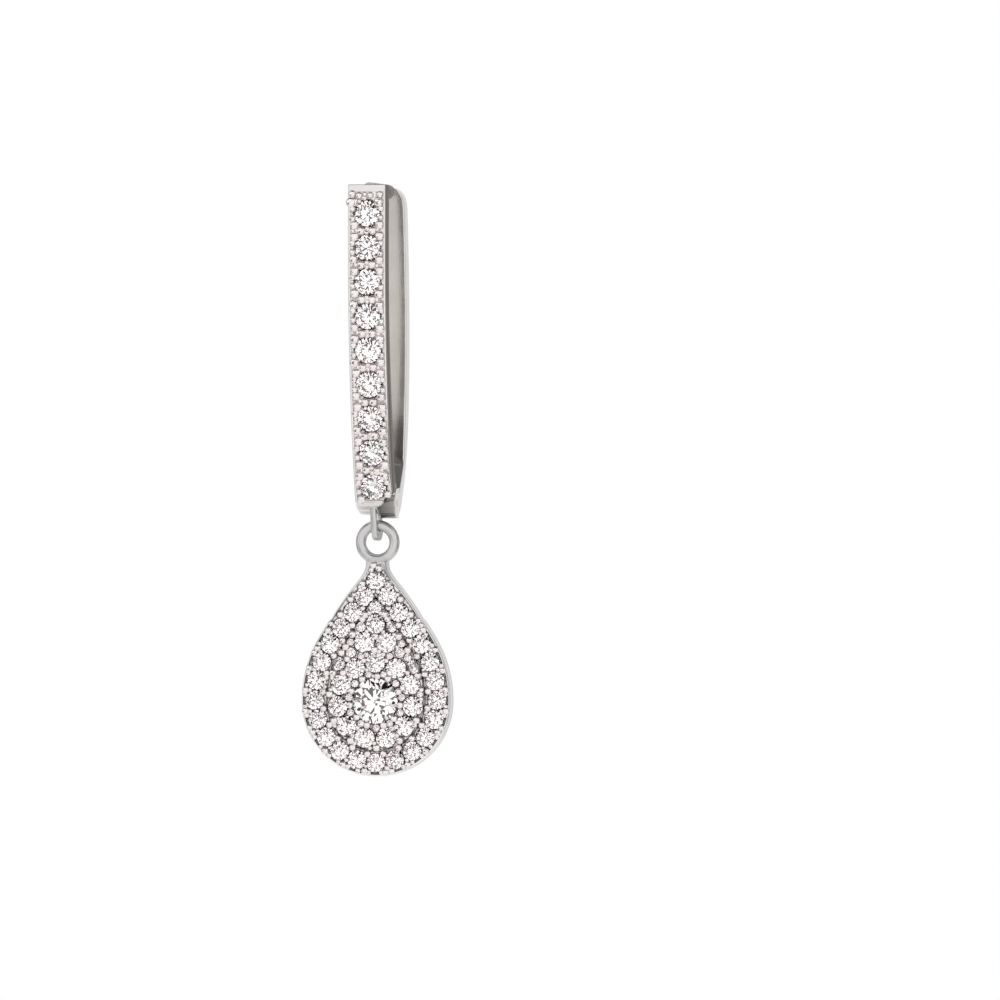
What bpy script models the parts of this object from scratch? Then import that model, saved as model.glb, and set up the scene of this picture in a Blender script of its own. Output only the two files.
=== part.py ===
"""Teardrop earring: a hinged oval hoop with a row of stones, and a pave teardrop that hangs from it.

Metres, +Z up. The front faces -Y, the hoop lies in the YZ plane and the drop in the XZ plane.
The origin is the underside of the ear post, half way along it, at the middle of the hoop's width.
"""

import math

import bmesh
import bpy
from mathutils import Matrix, Vector

MM = 0.001

# Hoop
HOOP_WIDTH = 2.24 * MM
HOOP_DEPTH = 8.25 * MM
HOOP_DROP = 18.8 * MM       # from the post's underside down to the foot
PLATE_RISE = 0.75 * MM      # from the post's underside up to the top of the end plate
BAR_WALL = 1.25 * MM
BACK_WALL = 1.2 * MM
BACK_END_ROUND = 1.4 * MM   # height of the rounded end of the back half

# Ear post and its seat
POST_RADIUS = 0.45 * MM
POST_GAP = 0.08 * MM
POST_BEVEL = 0.13 * MM
BLOCK_DEPTH = 1.65 * MM     # solder block behind the end plate, from the bar's front
BLOCK_HEIGHT = 2.3 * MM
BLOCK_INSET = 0.07 * MM     # from the bar's sides and top
SUNK = 0.30 * MM            # how far a soldered shape runs into the metal

# Hinge at the foot
PIN_RADIUS = 0.25 * MM
PIN_GAP = 0.04 * MM
HINGE_SHARE = 0.485         # where the pin sits along the hoop's depth
KNUCKLE_RADIUS = 0.68 * MM  # of the front half
EAR_RADIUS = 0.88 * MM      # of the back half
HINGE_GAP = 0.08 * MM
KNUCKLE_SHARE = 0.545       # of the width, the rest is the ear's
OPEN_ANGLE = math.radians(40)
HEEL_ANGLE = math.radians(50)   # below the horizontal, as far as the opened back half may reach
FOOT_CUT_HIGH = 0.37 * MM   # slanted lower edge of the foot: above the pin at the side,
FOOT_CUT_LOW = 0.40 * MM    # and below it at the knuckle

# Bail under the foot
BAIL_WIDTH = 0.37 * MM
BAIL_WALL = 0.30 * MM
BAIL_OFFSET = 0.10 * MM     # left of the middle
BAIL_GAP = 0.08 * MM        # from the legs to the ring's wire
BAIL_LEAN = 0.10 * MM       # of the front leg
BAIL_SUNK = 0.53 * MM       # how far the legs reach up into the foot
DROP_FORWARD = 0.30 * MM    # from the pin to the plane in which the drop hangs

# Bar stones and the channel that holds them
BAR_STONES = 9
BAR_STONE_RADIUS = 0.76 * MM
BAR_EDGE = 0.15 * MM        # thin wall each side of the channel
CHANNEL_DEPTH = 0.20 * MM
END_PLATE = 0.41 * MM
END_ROOM = 0.53 * MM        # between the end plate and the first stone
FOOT_PLATE = 1.05 * MM
GRAIN_RADIUS = 0.21 * MM
GRAIN_SUNK = 0.05 * MM      # into the edge wall beside it

# Ring of the drop
RING_RADIUS = 1.0 * MM      # to the middle of the wire
RING_WIRE = 0.305 * MM
RING_GAP = 0.05 * MM

# Teardrop
DROP_RADIUS = 4.43 * MM     # round lower end
FLANK_RADIUS = 7.35 * MM
FLANK_ANGLE = math.radians(32.5)
SHOULDER_ANGLE = math.radians(38)
SHOULDER_SHARE = 0.41       # of the straight flank's height, where the shoulders begin
DROP_THICK = 1.4 * MM
NECK_HALF = 0.60 * MM
NECK_LENGTH = 0.55 * MM     # between the ring's wire and the shoulders
NECK_THICK = 1.12 * MM
RIM_WALL = 0.17 * MM
HALO_DEPTH = 0.14 * MM
HALO_STONE_RADIUS = 0.545 * MM
HALO_SPACING = 1.05         # of a stone's diameter, from one stone of the halo to the next
HALO_TOP_DROP = 0.58 * MM   # of the top stone, from the point of the halo's path
PLATE_GAP = 0.06 * MM
PLATE_PROUD = 0.06 * MM
POCKET_DEPTH = 0.85 * MM
FIELD_STONE_RADIUS = 0.60 * MM
CENTRE_RADIUS = 1.35 * MM

# Cut stones
STONE_GAP = 0.04 * MM
GIRDLE_SHARE = 0.05         # of the diameter, as the next three are
CROWN_SHARE = 0.15
PAVILION_SHARE = 0.42
TABLE_SHARE = 0.57

# Outlines of the hoop: fall is the share of the height below the end plate's top, front and
# outside are shares of the depth, wall is a share of the half's own wall.
FRONT_HALF = (
    # fall, front, wall
    (0.000, 0.000, 1.00),
    (0.120, 0.000, 1.00),
    (0.240, 0.001, 1.00),
    (0.360, 0.011, 1.00),
    (0.480, 0.037, 1.03),
    (0.600, 0.078, 1.07),
    (0.700, 0.125, 1.11),
    (0.780, 0.171, 1.11),
    (0.848, 0.216, 1.10),
    (0.895, 0.251, 1.21),
)
FOOT = (
    # fall, front: the plain foot below the bar
    (0.943, 0.290),
    (0.964, 0.335),
    (0.980, 0.388),
    (0.987, 0.430),
)
BACK_HALF = (
    # fall, outside, wall
    (0.000, 0.882, 1.00),
    (0.115, 0.933, 1.00),
    (0.250, 0.975, 1.00),
    (0.380, 0.997, 1.00),
    (0.500, 1.000, 1.00),
    (0.600, 0.985, 0.98),
    (0.690, 0.957, 0.96),
    (0.765, 0.915, 0.86),
    (0.830, 0.858, 0.70),
    (0.885, 0.790, 0.98),
    (0.925, 0.722, 1.12),
)
HEEL = (
    # fall, outside: the underside between the band and the hinge
    (0.950, 0.680),
    (0.975, 0.612),
    (0.992, 0.540),
)
# Stones of the inner field above the circle of stones: across and up are shares of the round
# end's radius from its centre, size is a share of a field stone's radius.
FIELD = (
    # across, up, size
    (-0.148, 0.775, 1.00),
    (0.148, 0.775, 1.00),
    (-0.330, 0.640, 0.50),
    (0.330, 0.640, 0.50),
    (0.000, 1.020, 0.95),
    (0.000, 1.240, 0.62),
)
FIELD_RING_SHARE = 0.512    # radius of the circle of stones around the centre stone
FIELD_SPACING = 1.07        # of a stone's diameter, as above

ROUND_ANGLE = math.radians(35)  # faces that meet at less than this are shaded as one surface

METAL = ("white_gold", (0.83, 0.82, 0.80, 1.0), 1.0, 0.14, 0.0)
STONE = ("cut_stone", (1.0, 1.0, 1.0, 1.0), 0.0, 0.0, 1.0)


def material_of(name, colour, metallic, roughness, transmission):
    made = bpy.data.materials.get(name)
    if made:
        return made
    made = bpy.data.materials.new(name)
    made.use_nodes = True
    shader = made.node_tree.nodes["Principled BSDF"]
    shader.inputs["Base Color"].default_value = colour
    shader.inputs["Metallic"].default_value = metallic
    shader.inputs["Roughness"].default_value = roughness
    shader.inputs["Transmission Weight"].default_value = transmission
    if transmission:
        shader.inputs["IOR"].default_value = 2.42
    return made


# Mesh helpers


def shade_round(shape):
    """Smooth faces on both sides of each slight edge, every other edge sharp."""
    for edge in shape.edges:
        edge.smooth = 0 < edge.calc_face_angle() < ROUND_ANGLE
        if edge.smooth:
            for face in edge.link_faces:
                face.smooth = True


def new_object(name, shape, material=METAL):
    """An object from a bmesh, with its faces turned outwards."""
    bmesh.ops.recalc_face_normals(shape, faces=shape.faces)
    if material is METAL:
        shade_round(shape)
    mesh = bpy.data.meshes.new(name)
    shape.to_mesh(mesh)
    shape.free()
    mesh.materials.append(material_of(*material))
    made = bpy.data.objects.new(name, mesh)
    bpy.context.scene.collection.objects.link(made)
    return made


def helper(name, shape):
    """A cutter or a joined-in shape, which isn't a piece of its own."""
    made = new_object(name, shape)
    made.hide_render = True
    made.display_type = "WIRE"
    return made


def combine(piece, other, operation):
    modifier = piece.modifiers.new(other.name, "BOOLEAN")
    modifier.object = other
    modifier.operation = operation
    modifier.solver = "EXACT"


def loft(shape, sections):
    """Joins closed sections of equal length, one after the other, and caps both ends."""
    rows = [[shape.verts.new(point) for point in section] for section in sections]
    for low, high in zip(rows, rows[1:]):
        for i in range(len(low)):
            j = (i + 1) % len(low)
            shape.faces.new((low[i], low[j], high[j], high[i]))
    shape.faces.new(rows[0][::-1])
    shape.faces.new(rows[-1])


def prism_x(shape, outline, low, high):
    """A (y, z) outline carried from x = low to x = high."""
    loft(shape, [[Vector((x, y, z)) for y, z in outline] for x in (low, high)])


def prism_y(shape, outline, low, high):
    """An (x, z) outline carried from y = low to y = high."""
    loft(shape, [[Vector((x, y, z)) for x, z in outline] for y in (low, high)])


def circle(centre, radius, sides, start=0.0, turn=2 * math.pi):
    """Points of a circle, or of an arc with both of its ends."""
    steps = sides if turn == 2 * math.pi else sides - 1
    angles = [start + turn * i / steps for i in range(sides)]
    return [(centre[0] + radius * math.cos(a), centre[1] + radius * math.sin(a)) for a in angles]


def turned(shape, place, profile, sides):
    """A profile of (radius, height) turned about the local Z of the place matrix."""
    rows = []
    for radius, height in profile:
        rows.append([place @ Vector((x, y, height)) for x, y in circle((0, 0), radius, sides)])
    loft(shape, rows)


def smooth_curve(rows, column, steps):
    """Points (fall, value) on a Catmull-Rom curve through one column of a table."""
    points = [(row[0], row[column]) for row in rows]
    points = [points[0]] + points + [points[-1]]
    curve = []
    for a, b, c, d in zip(points, points[1:], points[2:], points[3:]):
        for i in range(steps):
            t = i / steps
            curve.append(tuple(
                0.5 * (2 * b[k] + (c[k] - a[k]) * t + (2 * a[k] - 5 * b[k] + 4 * c[k] - d[k]) * t * t
                       + (3 * b[k] - a[k] - 3 * c[k] + d[k]) * t * t * t)
                for k in (0, 1)
            ))
    curve.append(points[-1])
    return curve


# The hoop's frame: shares of its height and depth become y and z


def hoop_point(fall, depth):
    height = PLATE_RISE + HOOP_DROP
    return ((depth - 0.5) * HOOP_DEPTH, PLATE_RISE - fall * height)


def hoop_curve(rows, steps=2):
    """The outer face of one half, as (y, z) points."""
    return [hoop_point(*point) for point in smooth_curve(rows, 1, steps)]


def inner_curve(rows, wall, steps=2):
    """The inner face of one half: the outer face moved inwards by its wall's share at each height."""
    shares = smooth_curve(rows, 2, steps)
    return [(y + share * wall, z) for (y, z), (_, share) in zip(hoop_curve(rows, steps), shares)]


PIN = ((HINGE_SHARE - 0.5) * HOOP_DEPTH, EAR_RADIUS - HOOP_DROP)
KNUCKLE_EDGE = (KNUCKLE_SHARE - 0.5) * HOOP_WIDTH
EAR_EDGE = KNUCKLE_EDGE + HINGE_GAP
HALF_WIDTH = HOOP_WIDTH / 2
PAST = 1.0 * MM             # how far a cutter runs past what it cuts


def bar_contour():
    return hoop_curve(FRONT_HALF) + [hoop_point(*row) for row in FOOT]


def contour_at(z):
    """(y, slope) of the bar's front at a height."""
    points = bar_contour()
    for (ya, za), (yb, zb) in zip(points, points[1:]):
        if zb <= z <= za:
            share = (za - z) / (za - zb)
            return ya + share * (yb - ya), (yb - ya) / (za - zb)
    return points[-1][0], 0.0


# Cut stones


def stone_profile(radius, grow=0.0):
    """(radius, height) from the table down to the culet, with the girdle's lower edge at height 0."""
    across = 2 * radius
    girdle = GIRDLE_SHARE * across
    return (
        (TABLE_SHARE * radius + grow, girdle + CROWN_SHARE * across),
        (radius + grow, girdle),
        (radius + grow, 0.0),
        (0.02 * radius + grow, -PAVILION_SHARE * across - grow),
    )


def add_single_cut(shape, place, radius):
    """A table with eight crown facets, a girdle and eight pavilion facets."""
    turned(shape, place, stone_profile(radius), 8)


def add_brilliant(shape, place, radius):
    """A round brilliant: table, 8 stars, 8 kites, 16 upper halves, girdle, 16 lower halves, 8 mains."""
    across = 2 * radius
    girdle = GIRDLE_SHARE * across
    crown = CROWN_SHARE * across
    rings = {}
    for key, share, height, sides, start in (
        ("table", TABLE_SHARE, girdle + crown, 8, 0.0),
        ("star", 0.80, girdle + 0.45 * crown, 8, math.pi / 8),
        ("upper", 1.0, girdle, 16, 0.0),
        ("lower", 1.0, 0.0, 16, 0.0),
        ("halves", 0.24, -0.76 * PAVILION_SHARE * across, 8, math.pi / 8),
    ):
        points = circle((0, 0), share * radius, sides, start)
        rings[key] = [shape.verts.new(place @ Vector((x, y, height))) for x, y in points]
    culet = shape.verts.new(place @ Vector((0, 0, -PAVILION_SHARE * across)))
    table, star, upper = rings["table"], rings["star"], rings["upper"]
    lower, halves = rings["lower"], rings["halves"]
    shape.faces.new(table)
    for i in range(8):
        after = (i + 1) % 8
        middle = (2 * i + 1) % 16
        end = (2 * i + 2) % 16
        shape.faces.new((table[i], star[i], table[after]))
        shape.faces.new((table[i], star[i - 1], upper[2 * i]))
        shape.faces.new((table[i], upper[2 * i], star[i]))
        shape.faces.new((star[i], upper[2 * i], upper[middle]))
        shape.faces.new((star[i], upper[middle], upper[end]))
        shape.faces.new((upper[2 * i], lower[2 * i], lower[middle], upper[middle]))
        shape.faces.new((upper[middle], lower[middle], lower[end], upper[end]))
        shape.faces.new((lower[2 * i], halves[i], lower[middle]))
        shape.faces.new((lower[middle], halves[i], lower[end]))
        shape.faces.new((lower[2 * i], halves[i - 1], culet))
        shape.faces.new((lower[2 * i], culet, halves[i]))


def add_seat(shape, place, radius, sides=12):
    """The hole under a stone: it follows the pavilion a small gap away and is open upwards."""
    profile = stone_profile(radius, STONE_GAP)
    culet = profile[3]
    turned(shape, place, ((radius + STONE_GAP, PAST), (radius + STONE_GAP, 0.0),
                          (culet[0], culet[1])), sides)


def stone_object(name, place, radius, add):
    shape = bmesh.new()
    add(shape, Matrix.Identity(4), radius)
    made = new_object(name, shape, STONE)
    made.matrix_world = place
    return made


# Front half of the hoop


def front_outline():
    """The bar, the foot and the knuckle as one closed outline, without the channel."""
    outer = bar_contour()
    knuckle = circle(PIN, KNUCKLE_RADIUS, 9, -math.pi / 2, math.pi)
    inner = inner_curve(FRONT_HALF, BAR_WALL)
    return outer + knuckle + inner[::-1]


def bar_places():
    """A matrix for each bar stone: local Z leaves the bar, the origin lies on the channel's floor."""
    high = PLATE_RISE - END_PLATE - END_ROOM - BAR_STONE_RADIUS
    low = FOOT_PLATE - HOOP_DROP + BAR_STONE_RADIUS
    places = []
    for i in range(BAR_STONES):
        z = high + (low - high) * i / (BAR_STONES - 1)
        y, slope = contour_at(z)
        tilt = math.atan(slope)
        out = Vector((0, -math.cos(tilt), -math.sin(tilt)))
        floor = Vector((0, y, z)) - out * CHANNEL_DEPTH
        turn = Matrix((Vector((1, 0, 0)), out.cross(Vector((1, 0, 0))), out)).transposed()
        places.append(Matrix.Translation(floor + out * STONE_GAP) @ turn.to_4x4())
    return places


def add_grain(shape, place, radius, sides=8):
    """A low dome on a short stem that is sunk in the metal."""
    turned(shape, place, ((0.45 * radius, 0.80 * radius), (0.90 * radius, 0.40 * radius),
                          (radius, -0.30 * radius), (0.8 * radius, -1.0 * radius)), sides)


def build_front():
    shape = bmesh.new()
    prism_x(shape, front_outline(), -HALF_WIDTH, HALF_WIDTH)
    front = new_object("hoop_front", shape)

    # Channel between the thin edge walls, its floor parallel to the bar's front
    top, bottom = PLATE_RISE - END_PLATE, FOOT_PLATE - HOOP_DROP
    levels = [top + (bottom - top) * i / 16 for i in range(17)]
    floor = [(contour_at(z)[0] + CHANNEL_DEPTH, z) for z in levels]
    shape = bmesh.new()
    outside = -HOOP_DEPTH / 2 - PAST
    prism_x(shape, floor + [(outside, bottom), (outside, top)],
            BAR_EDGE - HALF_WIDTH, HALF_WIDTH - BAR_EDGE)
    combine(front, helper("channel_cut", shape), "DIFFERENCE")

    # Block behind the end plate, with the post soldered to it
    sunk_front = BAR_WALL - HOOP_DEPTH / 2 - SUNK
    block_back = BLOCK_DEPTH - HOOP_DEPTH / 2
    block_top, block_low = PLATE_RISE - BLOCK_INSET, PLATE_RISE - BLOCK_HEIGHT
    shape = bmesh.new()
    prism_x(shape, [(sunk_front, block_top), (block_back, block_top),
                    (block_back, block_low), (sunk_front, block_low)],
            BLOCK_INSET - HALF_WIDTH, HALF_WIDTH - BLOCK_INSET)
    combine(front, helper("solder_block", shape), "UNION")

    post_end = hoop_point(0.0, BACK_HALF[0][1])[0]
    along = Matrix.Translation((0, sunk_front, POST_RADIUS)) @ Matrix.Rotation(-math.pi / 2, 4, "X")
    length = post_end - sunk_front
    shape = bmesh.new()
    turned(shape, along, ((POST_RADIUS, 0.0), (POST_RADIUS, length - POST_BEVEL),
                          (POST_RADIUS - POST_BEVEL, length)), 16)
    combine(front, helper("ear_post", shape), "UNION")

    # Room for the back half's ear, on the right of the knuckle
    shape = bmesh.new()
    prism_x(shape, circle(PIN, EAR_RADIUS + HINGE_GAP, 24), KNUCKLE_EDGE, HALF_WIDTH + PAST)
    combine(front, helper("ear_room", shape), "DIFFERENCE")
    slant_low = PIN[1] - FOOT_CUT_LOW
    slope = (FOOT_CUT_LOW + FOOT_CUT_HIGH) / (HALF_WIDTH - KNUCKLE_EDGE)
    wide, below = HALF_WIDTH + PAST, -HOOP_DROP - PAST
    corners = [(KNUCKLE_EDGE, slant_low), (wide, slant_low + slope * (wide - KNUCKLE_EDGE)),
               (wide, below), (KNUCKLE_EDGE, below)]
    shape = bmesh.new()
    prism_y(shape, corners, -HOOP_DEPTH / 2 - PAST, PIN[0] + EAR_RADIUS)
    combine(front, helper("foot_slant", shape), "DIFFERENCE")

    # Bail, a loop in the YZ plane whose two legs end in the foot
    shape = bmesh.new()
    add_bail(shape)
    combine(front, helper("bail", shape), "UNION")

    # Bore for the pin
    shape = bmesh.new()
    prism_x(shape, circle(PIN, PIN_RADIUS + PIN_GAP, 16), -HALF_WIDTH - PAST, HALF_WIDTH + PAST)
    combine(front, helper("knuckle_bore", shape), "DIFFERENCE")

    # Seats and grains
    places = bar_places()
    shape = bmesh.new()
    for place in places:
        add_seat(shape, place, BAR_STONE_RADIUS)
    combine(front, helper("bar_seats", shape), "DIFFERENCE")
    shape = bmesh.new()
    add_bar_grains(shape, places)
    combine(front, helper("bar_grains", shape), "UNION")
    return front


RING_TOP = -HOOP_DROP - 2 * RING_GAP - RING_WIRE    # height of the ring's wire at its top
DROP_Y = PIN[0] - DROP_FORWARD
BAIL_SEAT = RING_TOP - RING_WIRE - RING_GAP         # the bail's inner bottom


def add_bail(shape):
    """A band bent into a narrow U around the ring's wire."""
    room = RING_WIRE + BAIL_GAP
    bend = (DROP_Y, BAIL_SEAT + room)
    top = BAIL_SUNK - HOOP_DROP
    inner = [(DROP_Y - room - BAIL_LEAN, top)] + circle(bend, room, 9, math.pi, math.pi)
    inner.append((DROP_Y + room, top))
    room += BAIL_WALL
    outer = [(DROP_Y - room - BAIL_LEAN, top)] + circle(bend, room, 9, math.pi, math.pi)
    outer.append((DROP_Y + room, top))
    left = -BAIL_OFFSET - BAIL_WIDTH / 2
    prism_x(shape, outer + inner[::-1], left, left + BAIL_WIDTH)


def add_bar_grains(shape, places):
    """Four grains round every stone, just clear of it, half sunk in the edge walls."""
    across = HALF_WIDTH - BAR_EDGE - GRAIN_RADIUS + GRAIN_SUNK
    away = BAR_STONE_RADIUS + STONE_GAP + GRAIN_RADIUS
    along = math.sqrt(max(away * away - across * across, GRAIN_RADIUS * GRAIN_RADIUS))
    for place in places:
        for side in (-1, 1):
            for end in (-1, 1):
                spot = Matrix.Translation((side * across, end * along, 0))
                add_grain(shape, place @ spot, GRAIN_RADIUS)


# Back half of the hoop


def back_outline():
    """The band and its heel down to the pin, as one closed outline."""
    outer = hoop_curve(BACK_HALF) + [hoop_point(*row) for row in HEEL]
    inner = inner_curve(BACK_HALF, -BACK_WALL)
    ear = circle(PIN, EAR_RADIUS, 9, -math.pi / 2, -math.pi)
    return outer + ear + inner[::-1]


def build_back():
    shape = bmesh.new()
    prism_x(shape, back_outline(), -HALF_WIDTH, HALF_WIDTH)
    back = new_object("hoop_back", shape)

    # Rounded upper end: what lies outside a half ellipse is cut away
    spring = PLATE_RISE - BACK_END_ROUND
    arch = [(HALF_WIDTH * math.cos(math.pi * i / 24),
             spring + BACK_END_ROUND * math.sin(math.pi * i / 24)) for i in range(25)]
    wide, high = HALF_WIDTH + PAST, PLATE_RISE + PAST
    outline = [(wide, spring), (wide, high), (-wide, high), (-wide, spring)] + arch[::-1]
    shape = bmesh.new()
    prism_y(shape, outline, 0.0, HOOP_DEPTH)
    combine(back, helper("end_round", shape), "DIFFERENCE")

    # Notch that closes on the post
    notch = POST_RADIUS + POST_GAP
    outline = circle((0, POST_RADIUS), notch, 13, math.pi, math.pi) + [(notch, high), (-notch, high)]
    shape = bmesh.new()
    prism_y(shape, outline, 0.0, HOOP_DEPTH)
    combine(back, helper("post_notch", shape), "DIFFERENCE")

    # Room for the front half's knuckle and for the bail as the hoop opens, on the left of the ear
    shape = bmesh.new()
    prism_x(shape, circle(PIN, KNUCKLE_RADIUS + HINGE_GAP, 24), -HALF_WIDTH - PAST, EAR_EDGE)
    combine(back, helper("knuckle_room", shape), "DIFFERENCE")
    slope = math.tan(HEEL_ANGLE - OPEN_ANGLE)
    near, far = 0.4 * EAR_RADIUS, 3 * EAR_RADIUS
    outline = [(near, far), (-far, far), (-far, -far), (far, -far), (far, -far * slope),
               (near, -near * slope)]
    shape = bmesh.new()
    prism_x(shape, [(PIN[0] + y, PIN[1] + z) for y, z in outline], -HALF_WIDTH - PAST, EAR_EDGE)
    combine(back, helper("bail_room", shape), "DIFFERENCE")

    # Bore for the pin
    shape = bmesh.new()
    prism_x(shape, circle(PIN, PIN_RADIUS + PIN_GAP, 16), -HALF_WIDTH - PAST, HALF_WIDTH + PAST)
    combine(back, helper("ear_bore", shape), "DIFFERENCE")

    # The object's origin lies on the hinge axis
    move_origin(back, Vector((0, *PIN)))
    return back


def move_origin(piece, place):
    """Puts the object's origin at a place, with its shape where it was."""
    piece.data.transform(Matrix.Translation(-place))
    piece.location = place


def build_pin():
    shape = bmesh.new()
    prism_x(shape, circle(PIN, PIN_RADIUS, 16), -HALF_WIDTH, HALF_WIDTH)
    return new_object("hinge_pin", shape)


# The drop


RING_CENTRE = RING_TOP - RING_RADIUS


def flank_end(inset):
    radius = FLANK_RADIUS - inset
    return (DROP_RADIUS - FLANK_RADIUS + radius * math.cos(FLANK_ANGLE), radius * math.sin(FLANK_ANGLE))


def apex_height(inset):
    across, up = flank_end(inset)
    return up + across / math.tan(FLANK_ANGLE)


def shoulder_point():
    across, up = flank_end(0.0)
    rise = SHOULDER_SHARE * (apex_height(0.0) - up)
    return across - rise * math.tan(FLANK_ANGLE), up + rise


def neck_height():
    """Height of the shoulders' end above the round end's centre."""
    across, up = shoulder_point()
    return up + (across - NECK_HALF) / math.tan(SHOULDER_ANGLE)


DROP_CENTRE = RING_CENTRE - RING_RADIUS - NECK_LENGTH - neck_height()


def half_outline(inset, flank_steps=7, round_steps=13):
    """Right half of the teardrop, from the flank's upper end down to the lowest point."""
    points = []
    radius = FLANK_RADIUS - inset
    for i in range(flank_steps):
        angle = FLANK_ANGLE * (1 - i / flank_steps)
        points.append((DROP_RADIUS - FLANK_RADIUS + radius * math.cos(angle), radius * math.sin(angle)))
    for i in range(round_steps + 1):
        angle = -0.5 * math.pi * i / round_steps
        points.append(((DROP_RADIUS - inset) * math.cos(angle), (DROP_RADIUS - inset) * math.sin(angle)))
    return points


def teardrop(inset, top=None, **steps):
    """Closed outline in the XZ plane, inset all round. Without top it ends in its pointed apex."""
    right = half_outline(inset, **steps)
    above = top if top else [(0.0, apex_height(inset))]
    left = [(-x, z) for x, z in right[-2::-1]]
    above_left = [(-x, z) for x, z in above[::-1] if x > 0]
    points = above + right + left + above_left
    return [(x, z + DROP_CENTRE) for x, z in points]


def body_outline():
    """The whole drop with its shoulders up to the neck."""
    top = [(NECK_HALF, neck_height()), shoulder_point()]
    return teardrop(0.0, top)


DROP_FRONT = DROP_Y - DROP_THICK / 2
HALO_WIDTH = 2.2 * (HALO_STONE_RADIUS + STONE_GAP)


def path_length(points):
    return sum(math.dist(a, b) for a, b in zip(points, points[1:]))


def along_path(points, distance):
    for a, b in zip(points, points[1:]):
        step = math.dist(a, b)
        if distance <= step:
            share = distance / step
            return (a[0] + share * (b[0] - a[0]), a[1] + share * (b[1] - a[1]))
        distance -= step
    return points[-1]


def drop_place(across, up, depth):
    """A stone's matrix on the drop: local Z faces the front, depth is measured back from the rim."""
    turn = Matrix.Rotation(math.pi / 2, 4, "X")
    return Matrix.Translation((across, DROP_FRONT + depth, up)) @ turn


def halo_places():
    inset = RIM_WALL + HALO_WIDTH / 2
    apex = (0.0, apex_height(inset) + DROP_CENTRE - HALO_TOP_DROP)
    right = [(x, z + DROP_CENTRE) for x, z in half_outline(inset, flank_steps=12, round_steps=24)]
    loop = [apex] + right + [(-x, z) for x, z in right[-2::-1]] + [apex]
    total = path_length(loop)
    count = int(total / (2 * HALO_STONE_RADIUS * HALO_SPACING))
    spots = [along_path(loop, total * i / count) for i in range(count)]
    return [drop_place(x, z, HALO_DEPTH - STONE_GAP) for x, z in spots]


def field_stones():
    """(matrix, radius) of each stone of the inner teardrop, the circle's first one at its top."""
    spots = [(across * DROP_RADIUS, up * DROP_RADIUS, size) for across, up, size in FIELD]
    radius = FIELD_RING_SHARE * DROP_RADIUS
    count = int(2 * math.pi * radius / (2 * FIELD_STONE_RADIUS * FIELD_SPACING))
    spots += [(x, z, 1.0) for x, z in circle((0, 0), radius, count, math.pi / 2)]
    return [(drop_place(x, z + DROP_CENTRE, -PLATE_PROUD), size * FIELD_STONE_RADIUS)
            for x, z, size in spots]


def centre_place(grow=0.0):
    return drop_place(0.0, DROP_CENTRE, -PLATE_PROUD - STONE_GAP - grow)


def build_setting():
    shape = bmesh.new()
    prism_y(shape, body_outline(), DROP_FRONT, DROP_FRONT + DROP_THICK)
    setting = new_object("drop_setting", shape)

    # Neck that widens from the ring's wire to the shoulders
    shape = bmesh.new()
    shoulders = neck_height() + DROP_CENTRE
    sections = []
    for z, wide, thick in (
        (RING_CENTRE - RING_RADIUS, 0.9 * NECK_HALF, 0.8 * RING_WIRE),
        (shoulders, NECK_HALF, NECK_THICK / 2),
        (shoulders - SUNK, 0.98 * NECK_HALF, NECK_THICK / 2),
    ):
        sections.append([Vector((sx * wide, DROP_Y + sy * thick, z))
                         for sx, sy in ((-1, -1), (1, -1), (1, 1), (-1, 1))])
    loft(shape, sections)
    combine(setting, helper("neck", shape), "UNION")

    # Ring
    shape = bmesh.new()
    add_ring(shape)
    combine(setting, helper("ring", shape), "UNION")

    # Halo channel inside the rim, and the pocket for the inner plate
    shape = bmesh.new()
    prism_y(shape, teardrop(RIM_WALL), DROP_FRONT - PAST, DROP_FRONT + HALO_DEPTH)
    combine(setting, helper("halo_channel", shape), "DIFFERENCE")
    inset = RIM_WALL + HALO_WIDTH
    shape = bmesh.new()
    prism_y(shape, teardrop(inset), DROP_FRONT - PAST, DROP_FRONT + POCKET_DEPTH)
    combine(setting, helper("plate_pocket", shape), "DIFFERENCE")

    shape = bmesh.new()
    for place in halo_places():
        add_seat(shape, place, HALO_STONE_RADIUS, 8)
    combine(setting, helper("halo_seats", shape), "DIFFERENCE")
    shape = bmesh.new()
    add_seat(shape, centre_place(), CENTRE_RADIUS, 16)
    combine(setting, helper("centre_seat", shape), "DIFFERENCE")
    return setting


def add_ring(shape, around=20, sides=8):
    """A round wire closed into a ring in the XZ plane."""
    rows = []
    for i in range(around):
        turn = Matrix.Rotation(2 * math.pi * i / around, 4, "Y")
        points = circle((RING_RADIUS, 0), RING_WIRE, sides, math.pi / sides)
        rows.append([shape.verts.new(Vector((0, DROP_Y, RING_CENTRE)) + turn @ Vector((r, y, 0)))
                     for r, y in points])
    for i in range(around):
        low, high = rows[i], rows[(i + 1) % around]
        for j in range(sides):
            k = (j + 1) % sides
            shape.faces.new((low[j], low[k], high[k], high[j]))


def build_plate():
    inset = RIM_WALL + HALO_WIDTH + PLATE_GAP
    shape = bmesh.new()
    prism_y(shape, teardrop(inset), DROP_FRONT - PLATE_PROUD, DROP_FRONT + POCKET_DEPTH - PLATE_GAP)
    plate = new_object("pave_plate", shape)
    shape = bmesh.new()
    for place, radius in field_stones():
        turned(shape, place, stone_profile(radius)[:2] + ((0.8 * radius, -0.2 * radius),), 8)
    combine(plate, helper("field_stones", shape), "UNION")
    shape = bmesh.new()
    add_seat(shape, centre_place(), CENTRE_RADIUS, 16)
    combine(plate, helper("plate_centre_seat", shape), "DIFFERENCE")
    return plate


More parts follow.
